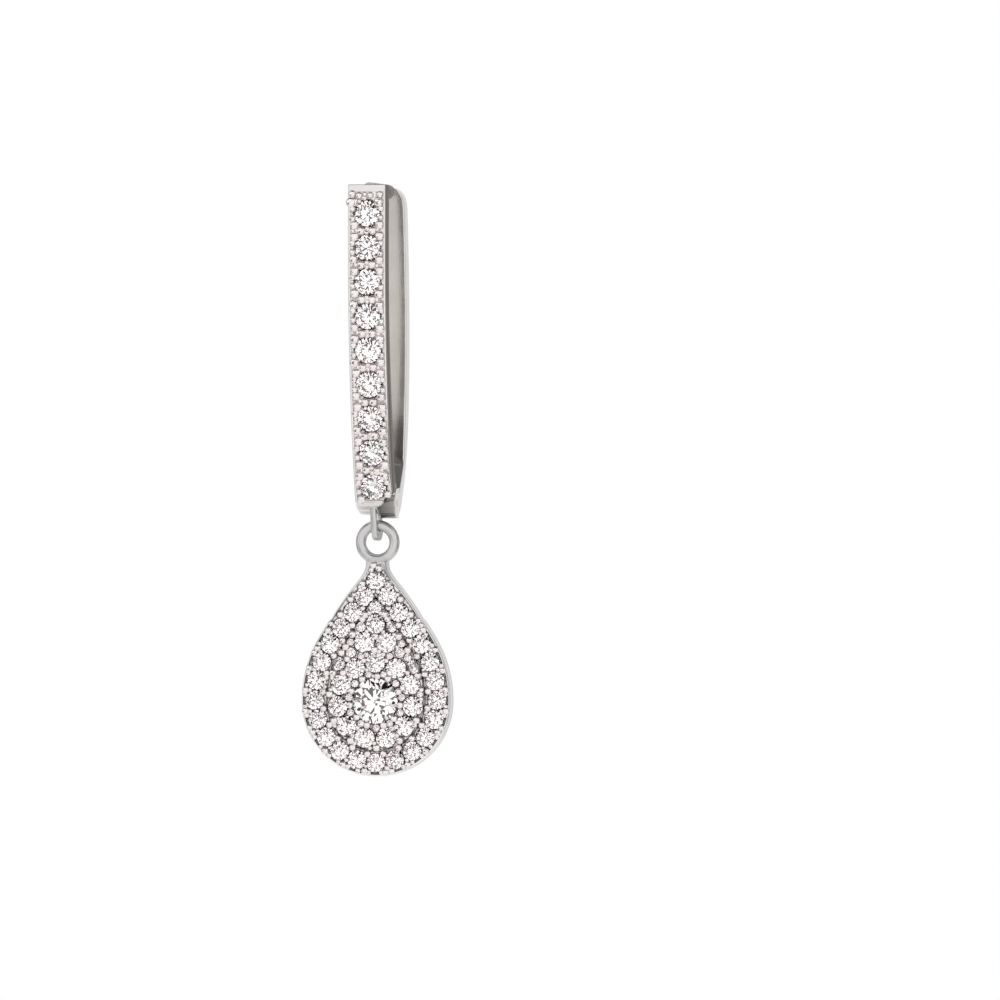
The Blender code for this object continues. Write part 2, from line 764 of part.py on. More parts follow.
def main():
    for old in list(bpy.data.objects):
        bpy.data.objects.remove(old)
    build_front()
    build_back()
    build_pin()
    for number, place in enumerate(bar_places(), 1):
        stone_object(f"bar_stone_{number}", place, BAR_STONE_RADIUS, add_brilliant)

    hanger = bpy.data.objects.new("drop_hanger", None)
    bpy.context.scene.collection.objects.link(hanger)
    hanger.location = (0, DROP_Y, RING_TOP)
    bpy.context.view_layer.update()
    pieces = [build_setting(), build_plate(),
              stone_object("centre_stone", centre_place(), CENTRE_RADIUS, add_brilliant)]
    for number, place in enumerate(halo_places(), 1):
        pieces.append(stone_object(f"halo_stone_{number}", place, HALO_STONE_RADIUS, add_single_cut))
    for piece in pieces:
        piece.parent = hanger
        piece.matrix_parent_inverse = hanger.matrix_world.inverted()


main()
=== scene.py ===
"""Dressed model of the teardrop earring: white gold hoop with bead-set stones and a pave drop.

Lengths are in millimetres until mesh_of() hands a shape to Blender, which takes metres.
The hoop's half outlines, walls and stone places are the ones the part's own solids have.
"""

import math

import bpy
import numpy as np
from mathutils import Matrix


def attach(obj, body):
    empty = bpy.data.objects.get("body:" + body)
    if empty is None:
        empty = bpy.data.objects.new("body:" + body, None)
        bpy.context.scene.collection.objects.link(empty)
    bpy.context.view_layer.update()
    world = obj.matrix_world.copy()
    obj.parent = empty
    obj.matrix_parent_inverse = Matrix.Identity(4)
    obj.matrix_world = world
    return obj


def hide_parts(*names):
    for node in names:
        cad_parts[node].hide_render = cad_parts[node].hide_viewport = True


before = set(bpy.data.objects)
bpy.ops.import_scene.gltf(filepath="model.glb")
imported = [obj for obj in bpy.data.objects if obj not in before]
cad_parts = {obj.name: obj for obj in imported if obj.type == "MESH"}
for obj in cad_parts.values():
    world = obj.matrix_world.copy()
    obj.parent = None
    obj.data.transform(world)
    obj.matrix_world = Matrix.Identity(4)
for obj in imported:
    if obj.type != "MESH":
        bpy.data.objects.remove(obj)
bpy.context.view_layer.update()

MM = 0.001

# Hoop
WIDTH, DEPTH, DROP, RISE = 2.24, 8.25, 18.8, 0.75
HALF = WIDTH / 2
BAR_WALL, BACK_WALL = 1.25, 1.2
HOOP_FRONT = -DEPTH / 2
EDGE, PLATE, FOOT_PLATE, END_ROOM = 0.15, 0.41, 1.05, 0.53
END_ROUND = 1.4
POST_R, POST_GAP, POST_END = 0.45, 0.08, 3.15
EAR_R, KNUCKLE_R, PIN_R, HINGE_GAP = 0.88, 0.68, 0.25, 0.08
PIN = np.array([-0.12375, EAR_R - DROP])
KNUCKLE_EDGE = 0.1008
BAR_COUNT, BAR_STONE, GRAIN = 9, 0.76, 0.255
BAR_TOP, BAR_LOW = RISE - PLATE, FOOT_PLATE - DROP
BAND_LOW = -17.3

# Drop
DROP_Y = PIN[0] - 0.30
RING_R, RING_WIRE = 1.0, 0.305
RING_TOP = -DROP - 0.1 - RING_WIRE
RING_MID = RING_TOP - RING_R
ROUND_R, FLANK_R, FLANK_A = 4.43, 7.35, math.radians(32.5)
THICK, RIM, LIP = 1.4, 0.17, 0.11
HALO_STONE, FIELD_STONE, CENTRE_STONE = 0.545, 0.60, 1.35
HALO_LOOK = 0.562  # the outer row's stones drawn a little larger, so that their edges nearly meet
HALO_WIDTH = 2.2 * (HALO_STONE + 0.04)
FRONT_Y = DROP_Y - THICK / 2
PROUD = 0.06

# Settings: how far the girdles lie below the front they sit in, and how deep the metal under them goes
BAR_SUNK, HALO_SUNK, FIELD_SUNK = 0.13, 0.06, -PROUD - 0.04
SEAT_DEEP, HALO_DEEP, WELL_DEEP = 0.90, 0.75, 1.22

# The foot: its slanted lower right edge, and the heights where it comes out to the front and where it
# narrows to the knuckle
CUT_Z = np.array([-18.17, -18.12, -17.98, -17.80, -17.66, -17.56, -17.46, -17.39])
CUT_X = np.array([0.08, 0.22, 0.44, 0.56, 0.63, 0.71, 0.90, 1.12])
FOOT_OUT, FOOT_NARROW = -17.81, -16.965
# Covered parts: how far they stay behind the bar's seats, inside the bar's side and inside the band's faces
HIDDEN, IN_BAR, IN_BAND = 0.02, 0.012, 0.014

FRONT_HALF = np.array([
    # fall, front, wall
    (0.000, 0.000, 1.00), (0.120, 0.000, 1.00), (0.240, 0.001, 1.00), (0.360, 0.011, 1.00),
    (0.480, 0.037, 1.03), (0.600, 0.078, 1.07), (0.700, 0.125, 1.11), (0.780, 0.171, 1.11),
    (0.848, 0.216, 1.10), (0.895, 0.251, 1.21),
])
FOOT = np.array([(0.943, 0.290), (0.964, 0.335), (0.980, 0.388), (0.987, 0.430)])
BACK_HALF = np.array([
    # fall, outside, wall
    (0.000, 0.882, 1.00), (0.115, 0.933, 1.00), (0.250, 0.975, 1.00), (0.380, 0.997, 1.00),
    (0.500, 1.000, 1.00), (0.600, 0.985, 0.98), (0.690, 0.957, 0.96), (0.765, 0.915, 0.86),
    (0.830, 0.858, 0.70), (0.885, 0.790, 0.98), (0.925, 0.722, 1.12),
])
HEEL = np.array([(0.950, 0.680), (0.975, 0.612), (0.992, 0.540)])


# Shells: a shell is (points, quads, triangles)


def catmull(rows, column, steps=12):
    """(fall, value) rows on a Catmull-Rom curve: four neighbouring points weighted by cubic blends of t."""
    p = rows[:, (0, column)]
    p = np.vstack([p[:1], p, p[-1:]])
    t = (np.arange(steps) / steps)[None, :, None]
    a, b, c, d = (p[i:len(p) - 3 + i, None, :] for i in range(4))
    curve = 0.5 * (2 * b + (c - a) * t + (2 * a - 5 * b + 4 * c - d) * t ** 2
                   + (3 * b - a - 3 * c + d) * t ** 3)
    return np.vstack([curve.reshape(-1, 2), p[-1:]])


def hoop_line(rows, column, wall=0.0):
    """Heights and depths of a hoop face: outline shares become y, moved inwards by the wall's share."""
    line = catmull(rows, column)
    y = (line[:, 1] - 0.5) * DEPTH
    if wall:
        y = y + wall * catmull(rows, 2)[:, 1]
    return RISE - line[:, 0] * (RISE + DROP), y


def at(z, line):
    """The line's depth at each height z."""
    heights, depths = line
    order = np.argsort(heights)
    return np.interp(z, heights[order], depths[order])


def with_points(line, shares):
    """The line with more points at its end, given as shares of the hoop's height and depth."""
    heights, depths = line
    more = np.asarray(shares)
    return (np.append(heights, RISE - more[:, 0] * (RISE + DROP)),
            np.append(depths, (more[:, 1] - 0.5) * DEPTH))


FRONT_FACE = with_points(hoop_line(FRONT_HALF, 1), FOOT)
FRONT_BACK = hoop_line(FRONT_HALF, 1, BAR_WALL)
BACK_FACE = with_points(hoop_line(BACK_HALF, 1), HEEL)
BACK_INSIDE = hoop_line(BACK_HALF, 1, -BACK_WALL)


def lofted(rows):
    """Shell through closed rows of points: quads between neighbours and a fan to the middle at each end."""
    count, around = rows.shape[:2]
    i, j = np.meshgrid(np.arange(count - 1), np.arange(around), indexing="ij")
    k = (j + 1) % around
    quads = np.stack([i * around + j, i * around + k, (i + 1) * around + k, (i + 1) * around + j], -1)
    points = np.vstack([rows.reshape(-1, 3), rows[:1].mean(1), rows[-1:].mean(1)])
    a = np.arange(around)
    b = (a + 1) % around
    last = (count - 1) * around
    low = np.stack([np.full(around, last + around), b, a], -1)
    high = np.stack([np.full(around, last + around + 1), last + a, last + b], -1)
    return outwards(points, quads.reshape(-1, 4), np.vstack([low, high]))


def ringed(rows):
    """Shell of closed rows that also close on themselves, as on a torus."""
    count, around = rows.shape[:2]
    i, j = np.meshgrid(np.arange(count), np.arange(around), indexing="ij")
    k, n = (j + 1) % around, (i + 1) % count
    quads = np.stack([i * around + j, i * around + k, n * around + k, n * around + j], -1)
    return outwards(rows.reshape(-1, 3), quads.reshape(-1, 4), np.zeros((0, 3), int))


def outwards(points, quads, triangles):
    """Turns every face round if the shell's volume, the sum of its corner tetrahedra, is negative."""
    fan = np.vstack([quads[:, :3], quads[:, (0, 2, 3)], triangles])
    a, b, c = (points[fan[:, i]] for i in range(3))
    if np.einsum("ij,ij->i", a, np.cross(b, c)).sum() < 0:
        quads, triangles = quads[:, ::-1], triangles[:, ::-1]
    return points, quads, triangles


def together(shells):
    """Several shells as one."""
    starts = np.cumsum([0] + [len(s[0]) for s in shells[:-1]])
    return (np.vstack([s[0] for s in shells]),
            np.vstack([s[1] + n for s, n in zip(shells, starts)]),
            np.vstack([s[2] + n for s, n in zip(shells, starts)]))


def copies(shell, places):
    """The shell at each place: every point times the place's 3 x 3 part, plus its position."""
    points, quads, triangles = shell
    places = np.asarray(places)
    moved = np.einsum("nij,vj->nvi", places[:, :3, :3], points) + places[:, None, :3, 3]
    shift = (np.arange(len(places)) * len(points))[:, None, None]
    return (moved.reshape(-1, 3), (quads[None] + shift).reshape(-1, quads.shape[1]),
            (triangles[None] + shift).reshape(-1, triangles.shape[1]))


def mesh_of(name, shell):
    """The shell as a mesh, in metres."""
    points, quads, triangles = shell
    mesh = bpy.data.meshes.new(name)
    mesh.from_pydata((points * MM).tolist(), [], quads.tolist() + triangles.tolist())
    return mesh


def shown(name, content):
    """A new object in the scene."""
    made = bpy.data.objects.new(name, content)
    bpy.context.scene.collection.objects.link(made)
    return made


def solid(name, shell, finish, body, replaced, sharp=30.0, painted_shading=None):
    """Puts a shell into a mesh object and lets it ride on its body.

    painted_shading is painted shade on the colour: the share of it each point keeps, from 0 to 1."""
    mesh = mesh_of(name, shell)
    if painted_shading is not None:
        mesh.attributes.new("painted_shade_factor", "FLOAT", "POINT").data.foreach_set("value", painted_shading)
    mesh.materials.append(finish)
    if sharp:
        mesh.shade_smooth()
        mesh.set_sharp_from_angle(angle=math.radians(sharp))
    made = shown(name, mesh)
    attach(made, body)
    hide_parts(*replaced)
    return made


# Cut metal round the stones


def seat_height(points, stones, radii, ridge, climb=0.8):
    """How far the metal stands over the girdles: under a stone it falls a little steeper than the
    pavilion, and outside it climbs at the graver's slope up to the ridge between two stones."""
    gap = (np.linalg.norm(points[:, None] - stones[None], axis=2) - radii[None]).min(1)
    return np.where(gap < 0, 0.95 * gap - 0.02, np.minimum(climb * gap, ridge))


def painted_shade_factor(points, stones, radii, grains, grain_radii, soft=0.085, least=0.10):
    """Painted shade on the metal between the stones: the share of its colour kept, least at the foot of a
    stone or grain, 1 further off.

    It rises with the distance in X and Z over the soft width. Under the stones it stays halfway."""
    flat = points[:, (0, 2)]
    girdle = 0.08
    stone_gap = (np.linalg.norm(flat[:, None] - stones[None], axis=2) - radii[None]).min(1)
    grain_gap = (np.linalg.norm(flat[:, None] - grains[None], axis=2) - grain_radii[None]).min(1)
    gap = np.where(stone_gap < -girdle, 0.5 * soft, np.abs(stone_gap))
    gap = np.minimum(gap, np.maximum(grain_gap, 0.0))
    return least + (1 - least) * np.clip(gap / soft, 0, 1)


# Finishes


def finish_nodes(name, **values):
    """A new finish with these values on its shader, and its nodes, links, shader and Object coordinates."""
    made = bpy.data.materials.new(name)
    made.use_nodes = True
    nodes = made.node_tree.nodes
    shader = nodes["Principled BSDF"]
    for key, value in values.items():
        shader.inputs[key.replace("_", " ")].default_value = value
    place = nodes.new("ShaderNodeTexCoord")
    return made, nodes, made.node_tree.links, shader, place.outputs["Object"]


def noise(nodes, links, place, scale, detail):
    """Soft noise over the places."""
    made = nodes.new("ShaderNodeTexNoise")
    made.inputs["Scale"].default_value = scale
    made.inputs["Detail"].default_value = detail
    links.new(place, made.inputs["Vector"])
    return made.outputs["Fac"]


def tones(nodes, links, source, stops):
    """Colours along a value, straight between the stops."""
    made = nodes.new("ShaderNodeValToRGB")
    marks = made.color_ramp.elements
    marks[0].position, marks[1].position = stops[0][0], stops[-1][0]
    for position, _ in stops[1:-1]:
        marks.new(position)
    for mark, (_, colour) in zip(marks, stops):
        mark.color = (*colour, 1.0)
    links.new(source, made.inputs["Fac"])
    return made.outputs["Color"]


def mixed(nodes, links, a, b, share=None):
    """The second colour's share laid over the first, or without a share one colour times the other."""
    made = nodes.new("ShaderNodeMix")
    made.data_type = "RGBA"
    if share is None:
        made.blend_type = "MULTIPLY"
        made.inputs["Factor"].default_value = 1.0
    else:
        links.new(share, made.inputs["Factor"])
    links.new(a, made.inputs["A"])
    links.new(b, made.inputs["B"])
    return made.outputs["Result"]


def polished_gold(name, tone, roughness, scratch=0.15, ripple=900.0):
    """Mirror polish with the faint drag marks of the felt wheel and a slightly uneven lustre."""
    made, nodes, links, shader, place = finish_nodes(name, Metallic=1.0, IOR=1.5)
    lustre = noise(nodes, links, place, ripple, 3.0)
    spread = nodes.new("ShaderNodeMapRange")
    spread.inputs["To Min"].default_value = 0.6 * roughness
    spread.inputs["To Max"].default_value = 1.5 * roughness
    links.new(lustre, spread.inputs["Value"])
    links.new(spread.outputs["Result"], shader.inputs["Roughness"])
    duller = 0.93 * np.array(tone)
    links.new(tones(nodes, links, lustre, ((0.3, duller), (0.7, tone))), shader.inputs["Base Color"])
    drag = nodes.new("ShaderNodeMapping")
    drag.inputs["Scale"].default_value = (14000.0, 14000.0, 700.0)
    links.new(place, drag.inputs["Vector"])
    relief = nodes.new("ShaderNodeBump")
    relief.inputs["Strength"].default_value = scratch
    relief.inputs["Distance"].default_value = 0.000004
    links.new(noise(nodes, links, drag.outputs["Vector"], 1.0, 2.0), relief.inputs["Height"])
    links.new(relief.outputs["Normal"], shader.inputs["Normal"])
    return made


def cut_stone(name, tone, other, scale):
    """Clear stone, whose body colour drifts a little from stone to stone."""
    made, nodes, links, shader, place = finish_nodes(
        name, Roughness=0.0, IOR=2.42, Transmission_Weight=1.0)
    drift = noise(nodes, links, place, scale, 1.0)
    links.new(tones(nodes, links, drift, ((0.40, tone), (0.62, other))), shader.inputs["Base Color"])
    return made


def shaded(made):
    """The finish with painted shade: its colour darkened where the painted shade factor written on the mesh
    is low.
    """
    nodes, links = made.node_tree.nodes, made.node_tree.links
    base = nodes["Principled BSDF"].inputs["Base Color"]
    written = nodes.new("ShaderNodeAttribute")
    written.attribute_name = "painted_shade_factor"
    links.new(mixed(nodes, links, base.links[0].from_socket, written.outputs["Fac"]), base)
    return made


def graver_cut_gold(name, tone, roughness, facet=0.17, depth=0.05):
    """Polished gold broken into little flat cuts: each cell of a Voronoi pattern leans its own way. Its
    colour takes the painted shade written on the mesh.
    """
    made = shaded(polished_gold(name, tone, roughness))
    nodes, links = made.node_tree.nodes, made.node_tree.links
    place = nodes.new("ShaderNodeTexCoord").outputs["Object"]
    cuts = nodes.new("ShaderNodeTexVoronoi")
    cuts.inputs["Scale"].default_value = 1.0 / (facet * MM)
    links.new(place, cuts.inputs["Vector"])
    lean = nodes.new("ShaderNodeBump")
    lean.inputs["Strength"].default_value = 1.0
    lean.inputs["Distance"].default_value = depth * MM
    links.new(cuts.outputs["Distance"], lean.inputs["Height"])
    links.new(lean.outputs["Normal"], nodes["Principled BSDF"].inputs["Normal"])
    return made


WHITE_GOLD = (0.87, 0.84, 0.815)
GOLD = polished_gold("polished_white_gold", WHITE_GOLD, 0.10)
# HINGE_GOLD, BAR_GOLD, CUP_GOLD and BRIGHT_CUT darken their colour by the painted shade factor written on
# each mesh
HINGE_GOLD = shaded(polished_gold("hinge_white_gold_painted_shadow", WHITE_GOLD, 0.10))
BAR_GOLD = shaded(polished_gold("bar_white_gold_painted_shade", WHITE_GOLD, 0.10))
glancing = BAR_GOLD.node_tree.nodes["Principled BSDF"].inputs["Specular Tint"]
glancing.default_value = (0.30, 0.27, 0.25, 1.0)
CUP_GOLD = shaded(polished_gold("cup_white_gold_painted_shade", (0.97, 0.95, 0.94), 0.22, 0.2))
FOOT_GOLD = polished_gold("foot_white_gold", (0.95, 0.925, 0.91), 0.30, 0.2)
RING_GOLD = polished_gold("ring_white_gold", (0.73, 0.72, 0.715), 0.34, 0.25)
BRIGHT_CUT = graver_cut_gold("bright_cut_gold_painted_shade", (0.94, 0.885, 0.875), 0.10, 0.17, 0.03)
BEAD_GOLD = polished_gold("raised_beads", (0.985, 0.935, 0.925), 0.09, 0.1)
STONE = cut_stone("clear_stone", (1.0, 0.982, 0.980), (1.0, 0.945, 0.94), 420.0)


# Stones


def brilliant(radius, table=0.57, crown=0.15, pavilion=0.42, girdle=0.05):
    """A round brilliant as rings of points: the star and half points lie in the planes of their mains.

    A main plane falls linearly along its own direction, and a point turned by 22.5 degrees
    lies cos(22.5) as far along it.
    """
    lean = math.cos(math.pi / 8)
    high, deep, belt = 2 * crown, 2 * pavilion, 2 * girdle
    star, half = 0.775, 0.24

    def ring(r, z, count, turn=0.0):
        """Points on a circle, all at one height."""
        a = turn + 2 * np.pi * np.arange(count) / count
        return np.stack([r * np.cos(a), r * np.sin(a), np.full(count, z)], -1)

    points = np.vstack([
        ring(table, belt + high, 8),
        ring(star, belt + high * (1 - star * lean) / (1 - table), 8, np.pi / 8),
        ring(1.0, belt, 16), ring(1.0, 0.0, 16),
        ring(half, -deep * (1 - half * lean), 8, np.pi / 8),
        [(0, 0, -deep), (0, 0, belt + high)],
    ]) * radius
    i = np.arange(8)
    n, mid, end = (i + 1) % 8, 2 * i + 1, (2 * i + 2) % 16
    up, low, halves = 16, 32, 48
    culet, middle = 56, 57
    triangles = [
        (i * 0 + middle, i, n), (i, i + 8, n),
        (i, up + 2 * i, i + 8), (n, i + 8, up + end),
        (i + 8, up + 2 * i, up + mid), (i + 8, up + mid, up + end),
        (low + 2 * i, halves + i, low + mid), (low + mid, halves + i, low + end),
        (low + 2 * i, culet + i * 0, halves + i), (low + end, halves + i, culet + i * 0),
    ]
    g = np.arange(16)
    belt_faces = np.stack([up + g, low + g, low + (g + 1) % 16, up + (g + 1) % 16], -1)
    return outwards(points, belt_faces, np.vstack([np.stack(t, -1) for t in triangles]))


def placed(position, out, turn=0.0):
    """4 x 4 place whose third axis is out, turned about it."""
    out = np.array(out, float)
    out /= np.linalg.norm(out)
    side = np.cross([0.0, 0.0, 1.0] if abs(out[2]) < 0.9 else [1.0, 0.0, 0.0], out)
    side /= np.linalg.norm(side)
    up = np.cross(out, side)
    place = np.eye(4)
    place[:3, 0] = math.cos(turn) * side + math.sin(turn) * up
    place[:3, 1] = np.cross(out, place[:3, 0])
    place[:3, 2] = out
    place[:3, 3] = position
    return place


def dome(radius, height, around=10):
    """A bead as the beading tool leaves it: rings from a short stem over a round shoulder to a flat top."""
    levels = np.array([(-0.5, 0.9), (0.0, 1.0), (0.58, 0.97), (0.86, 0.84), (0.98, 0.58)])
    a = 2 * np.pi * np.arange(around) / around
    rows = np.stack([
        levels[:, 1:] * radius * np.cos(a), levels[:, 1:] * radius * np.sin(a),
        np.repeat(levels[:, :1] * height, around, 1)], -1)
    points, quads, triangles = lofted(rows)
    points[-1, 2] = height
    return points, quads, triangles


def fill_beads(stones, radii, grid, rooms):
    """Bead centres in the gaps: the widest free spot of a fine grid is taken, one after the other.

    stones and radii are what is already there, grid the points that lie on the metal,
    rooms the bead radii from the largest to the smallest."""
    free = (np.linalg.norm(grid[:, None] - stones[None], axis=2) - radii[None]).min(1)
    found, sizes = [], []
    for room in rooms:
        while free.max() >= room:
            best = int(np.argmax(free))
            size = min(free[best], rooms[0])
            found.append(grid[best])
            sizes.append(size)
            free = np.minimum(free, np.linalg.norm(grid - grid[best], axis=1) - size)
    return np.array(found), np.array(sizes)


def flat_grid(across, low, high, step=0.09):
    """(across, up) points on a square grid."""
    x, z = np.meshgrid(np.arange(-across, across, step), np.arange(low, high, step))
    return np.stack([x.ravel(), z.ravel()], -1)


chance = np.random.default_rng(11)


def leaned(place, amount=0.14):
    """The place tipped a little about its own first two axes."""
    tip = np.eye(4)
    tip[:2, 2] = chance.normal(0, amount, 2)
    tip[2, :2] = -tip[:2, 2]
    return place @ tip


# Front half


def slant_limited(across, z):
    """Right halves drawn in to the foot's slanted lower edge."""
    return np.where(across > 0, across * np.interp(z, CUT_Z, CUT_X) / HALF, across)


def bar_shell():
    """A channel section carried down the bar's front line.

    A point is front line + share of the channel's depth + rounding + share of the wall to the back line.
    The channel is level with the walls at both ends."""
    wall_in = HALF - EDGE
    levels = np.concatenate([
        [RISE, RISE, RISE - 0.01, RISE - 0.03, RISE - 0.05], [BAR_TOP, BAR_TOP],
        np.linspace(BAR_TOP - 0.1, BAR_LOW + 0.1, 90),
        [BAR_LOW, BAR_LOW], [FOOT_OUT - 0.04]])
    inset = np.zeros(len(levels))
    inset[:4] = (0.04, 0.025, 0.01, 0.0)
    sunk = np.full(len(levels), SEAT_DEEP)
    sunk[:6] = 0.0
    sunk[-2:] = 0.0
    front = at(levels, FRONT_FACE)
    back = at(levels, FRONT_BACK)
    section = np.array([
        # across, share of the channel's depth, share of the wall, rounding depth
        (-HALF, 0, 0, 0.04), (-HALF + 0.03, 0, 0, 0.005), (-wall_in - 0.02, 0, 0, 0),
        (-wall_in, 0.15, 0, 0), (-wall_in + 0.02, 1, 0, 0),
        (wall_in - 0.02, 1, 0, 0), (wall_in, 0.15, 0, 0), (wall_in + 0.02, 0, 0, 0),
        (HALF - 0.10, 0, 0, 0.01), (HALF - 0.055, 0, 0, 0.04), (HALF - 0.025, 0, 0, 0.12),
        (HALF - 0.008, 0, 0, 0.26), (HALF, 0, 0, 0.48),
        (HALF, 0, 1, -0.14), (HALF - 0.03, 0, 1, -0.05), (HALF - 0.11, 0, 1, 0),
        (0.32, 0, 1, 0), (0.18, 0, 1, 0), (-0.12, 0, 1, 0), (-0.26, 0, 1, 0),
        (-HALF + 0.11, 0, 1, 0), (-HALF + 0.03, 0, 1, -0.05), (-HALF, 0, 1, -0.14),
    ])
    across = np.sign(section[:, 0])[None] * np.maximum(np.abs(section[:, 0])[None] - inset[:, None], 0.0)
    across = slant_limited(across, levels[:, None])
    depth = (front[:, None] + section[None, :, 1] * sunk[:, None] + section[None, :, 3]
             + section[None, :, 2] * (back - front)[:, None])
    middle = 0.5 * (front + back)[:, None]
    depth = middle + (depth - middle) * (1 - inset[:, None] / 0.6)
    return lofted(np.stack([across, depth, np.repeat(levels[:, None], len(section), 1)], -1))


def setting_slab():
    """What fills the bar's channel: rows across it, sunk along the front line's normal by the seats.

    A row is 45 points over the front and two at the slab's back. The seats run out over the last 0.1 mm."""
    z = np.linspace(BAR_TOP - 0.004, BAR_LOW + 0.004, 430)
    front = at(z, FRONT_FACE)
    across = slant_limited(np.linspace(-1, 1, 45)[None] * (HALF - EDGE + 0.01), z[:, None])
    face = np.stack([across, np.repeat(front[:, None], 45, 1), np.repeat(z[:, None], 45, 1)], -1)
    centres, _ = bar_spots()
    rise = seat_height(face.reshape(-1, 3), centres, np.full(BAR_COUNT, BAR_STONE), 0.10)
    rise = rise.reshape(across.shape)
    tilt = np.arctan(np.gradient(front, -z))
    inward = np.stack([0 * z, np.cos(tilt), np.sin(tilt)], -1)
    end = np.clip(np.minimum(z - z[-1], z[0] - z) / 0.10, 0, 1)[:, None]
    sink = (BAR_SUNK - rise) * end + 0.03 * (1 - end)
    rows = face + sink[..., None] * inward[:, None]
    rows[..., 2] = np.clip(rows[..., 2], BAR_LOW + 0.002, BAR_TOP - 0.002)
    back = face[:, (-1, 0)] + (SEAT_DEEP - 0.01) * np.array([0.0, 1.0, 0.0])
    return lofted(np.concatenate([rows, back], 1))


def rounded_box_rows(left, right, front, back, heights, corner, around=6):
    """Rows of a rounded rectangle: four quarter circles of the corner's radius, at each height.

    Each quarter circle has one more point before and after it, so that the sides stay flat up to there."""
    a = np.linspace(0, np.pi / 2, around)
    a = np.concatenate([a[:1], a, a[-1:]])
    beside = np.zeros(len(a))
    beside[0], beside[-1] = -1, 1
    beside = np.tile(beside, 4)
    sx = np.repeat([1, 1, -1, -1], len(a))
    sy = np.repeat([-1, 1, 1, -1], len(a))
    turn = np.concatenate([start + a for start in (-np.pi / 2, 0, np.pi / 2, np.pi)])
    left, right, front, back, corner = (np.broadcast_to(v, heights.shape)[:, None]
                                        for v in (left, right, front, back, corner))
    corner = np.minimum(corner, 0.499 * np.minimum(right - left, back - front))
    x = np.where(sx > 0, right - corner, left + corner) + corner * np.cos(turn)
    y = np.where(sy > 0, back - corner, front + corner) + corner * np.sin(turn)
    x = x - beside * np.minimum(0.05, 0.4 * (right - left - 2 * corner)) * np.sin(turn)
    y = y + beside * np.minimum(0.05, 0.4 * (back - front - 2 * corner)) * np.cos(turn)
    return np.stack([x, y, np.repeat(heights[:, None], len(turn), 1)], -1)


def foot_shells():
    """The left knuckle under the bar, and the plate in front of the hinge with its slanted lower edge.

    Both are rounded boxes at each height. The knuckle's depth is the circle about the pin, out to the
    hoop's front line, and its left side is a quarter of an ellipse at the bottom."""
    bottom, rounding = PIN[1] - KNUCKLE_R, 0.35
    z = np.concatenate([
        np.linspace(-16.2, FOOT_NARROW + 0.005, 8), np.linspace(FOOT_NARROW - 0.005, FOOT_OUT + 0.01, 10),
        np.linspace(FOOT_OUT - 0.02, bottom + rounding, 16),
        bottom + rounding * (1 - np.sin(np.linspace(0.06, np.pi / 2 - 0.02, 14)))])
    behind = z > FOOT_OUT
    knuckle_top, bar_end = PIN[1] + KNUCKLE_R - 0.02, FRONT_BACK[0].min()
    circle = np.sqrt(np.maximum(KNUCKLE_R ** 2 - (z - PIN[1]) ** 2, 0.0))
    front = np.minimum(at(z, FRONT_FACE), PIN[0] - circle)
    front = np.where(z < -18.3, np.maximum(front, PIN[0] - np.maximum(circle, 0.04) - 0.12), front)
    front = np.where(behind, at(z, FRONT_FACE) + SEAT_DEEP + HIDDEN, front)
    inner = np.interp(z, [knuckle_top, bar_end], [PIN[0], FRONT_BACK[1][-1]])
    back = np.where(z > bar_end, at(z, FRONT_BACK), inner)
    back = np.where(z > knuckle_top, back, PIN[0] + circle)
    right = np.where(z > FOOT_NARROW, HALF - IN_BAR, KNUCKLE_EDGE)
    low = np.clip((z - bottom) / rounding, 0, 1)
    left = -HALF + 0.30 * (1 - np.sqrt(1 - (1 - low) ** 2)) + 0.004 * behind
    knuckle = lofted(rounded_box_rows(left, right, front, np.maximum(back, front + 0.05), z, 0.06))

    z = np.concatenate([np.linspace(-16.9, -17.38, 6), np.linspace(-17.40, FOOT_OUT + 0.01, 10),
                        np.linspace(FOOT_OUT - 0.02, -18.16, 12)])
    behind = z > FOOT_OUT
    right = np.interp(z, CUT_Z, CUT_X) - IN_BAR * behind
    front = at(z, FRONT_FACE) + (SEAT_DEEP + HIDDEN) * behind
    room = EAR_R + HINGE_GAP
    back = PIN[0] - np.sqrt(np.maximum(room ** 2 - (z - PIN[1]) ** 2, 0.0))
    back = np.maximum(np.where(z > PIN[1] + room, front + 0.3, back), front + 0.05)
    plate = lofted(rounded_box_rows(KNUCKLE_EDGE - 0.12, right, front + 0.002, back, z, 0.05))
    return [knuckle, plate]


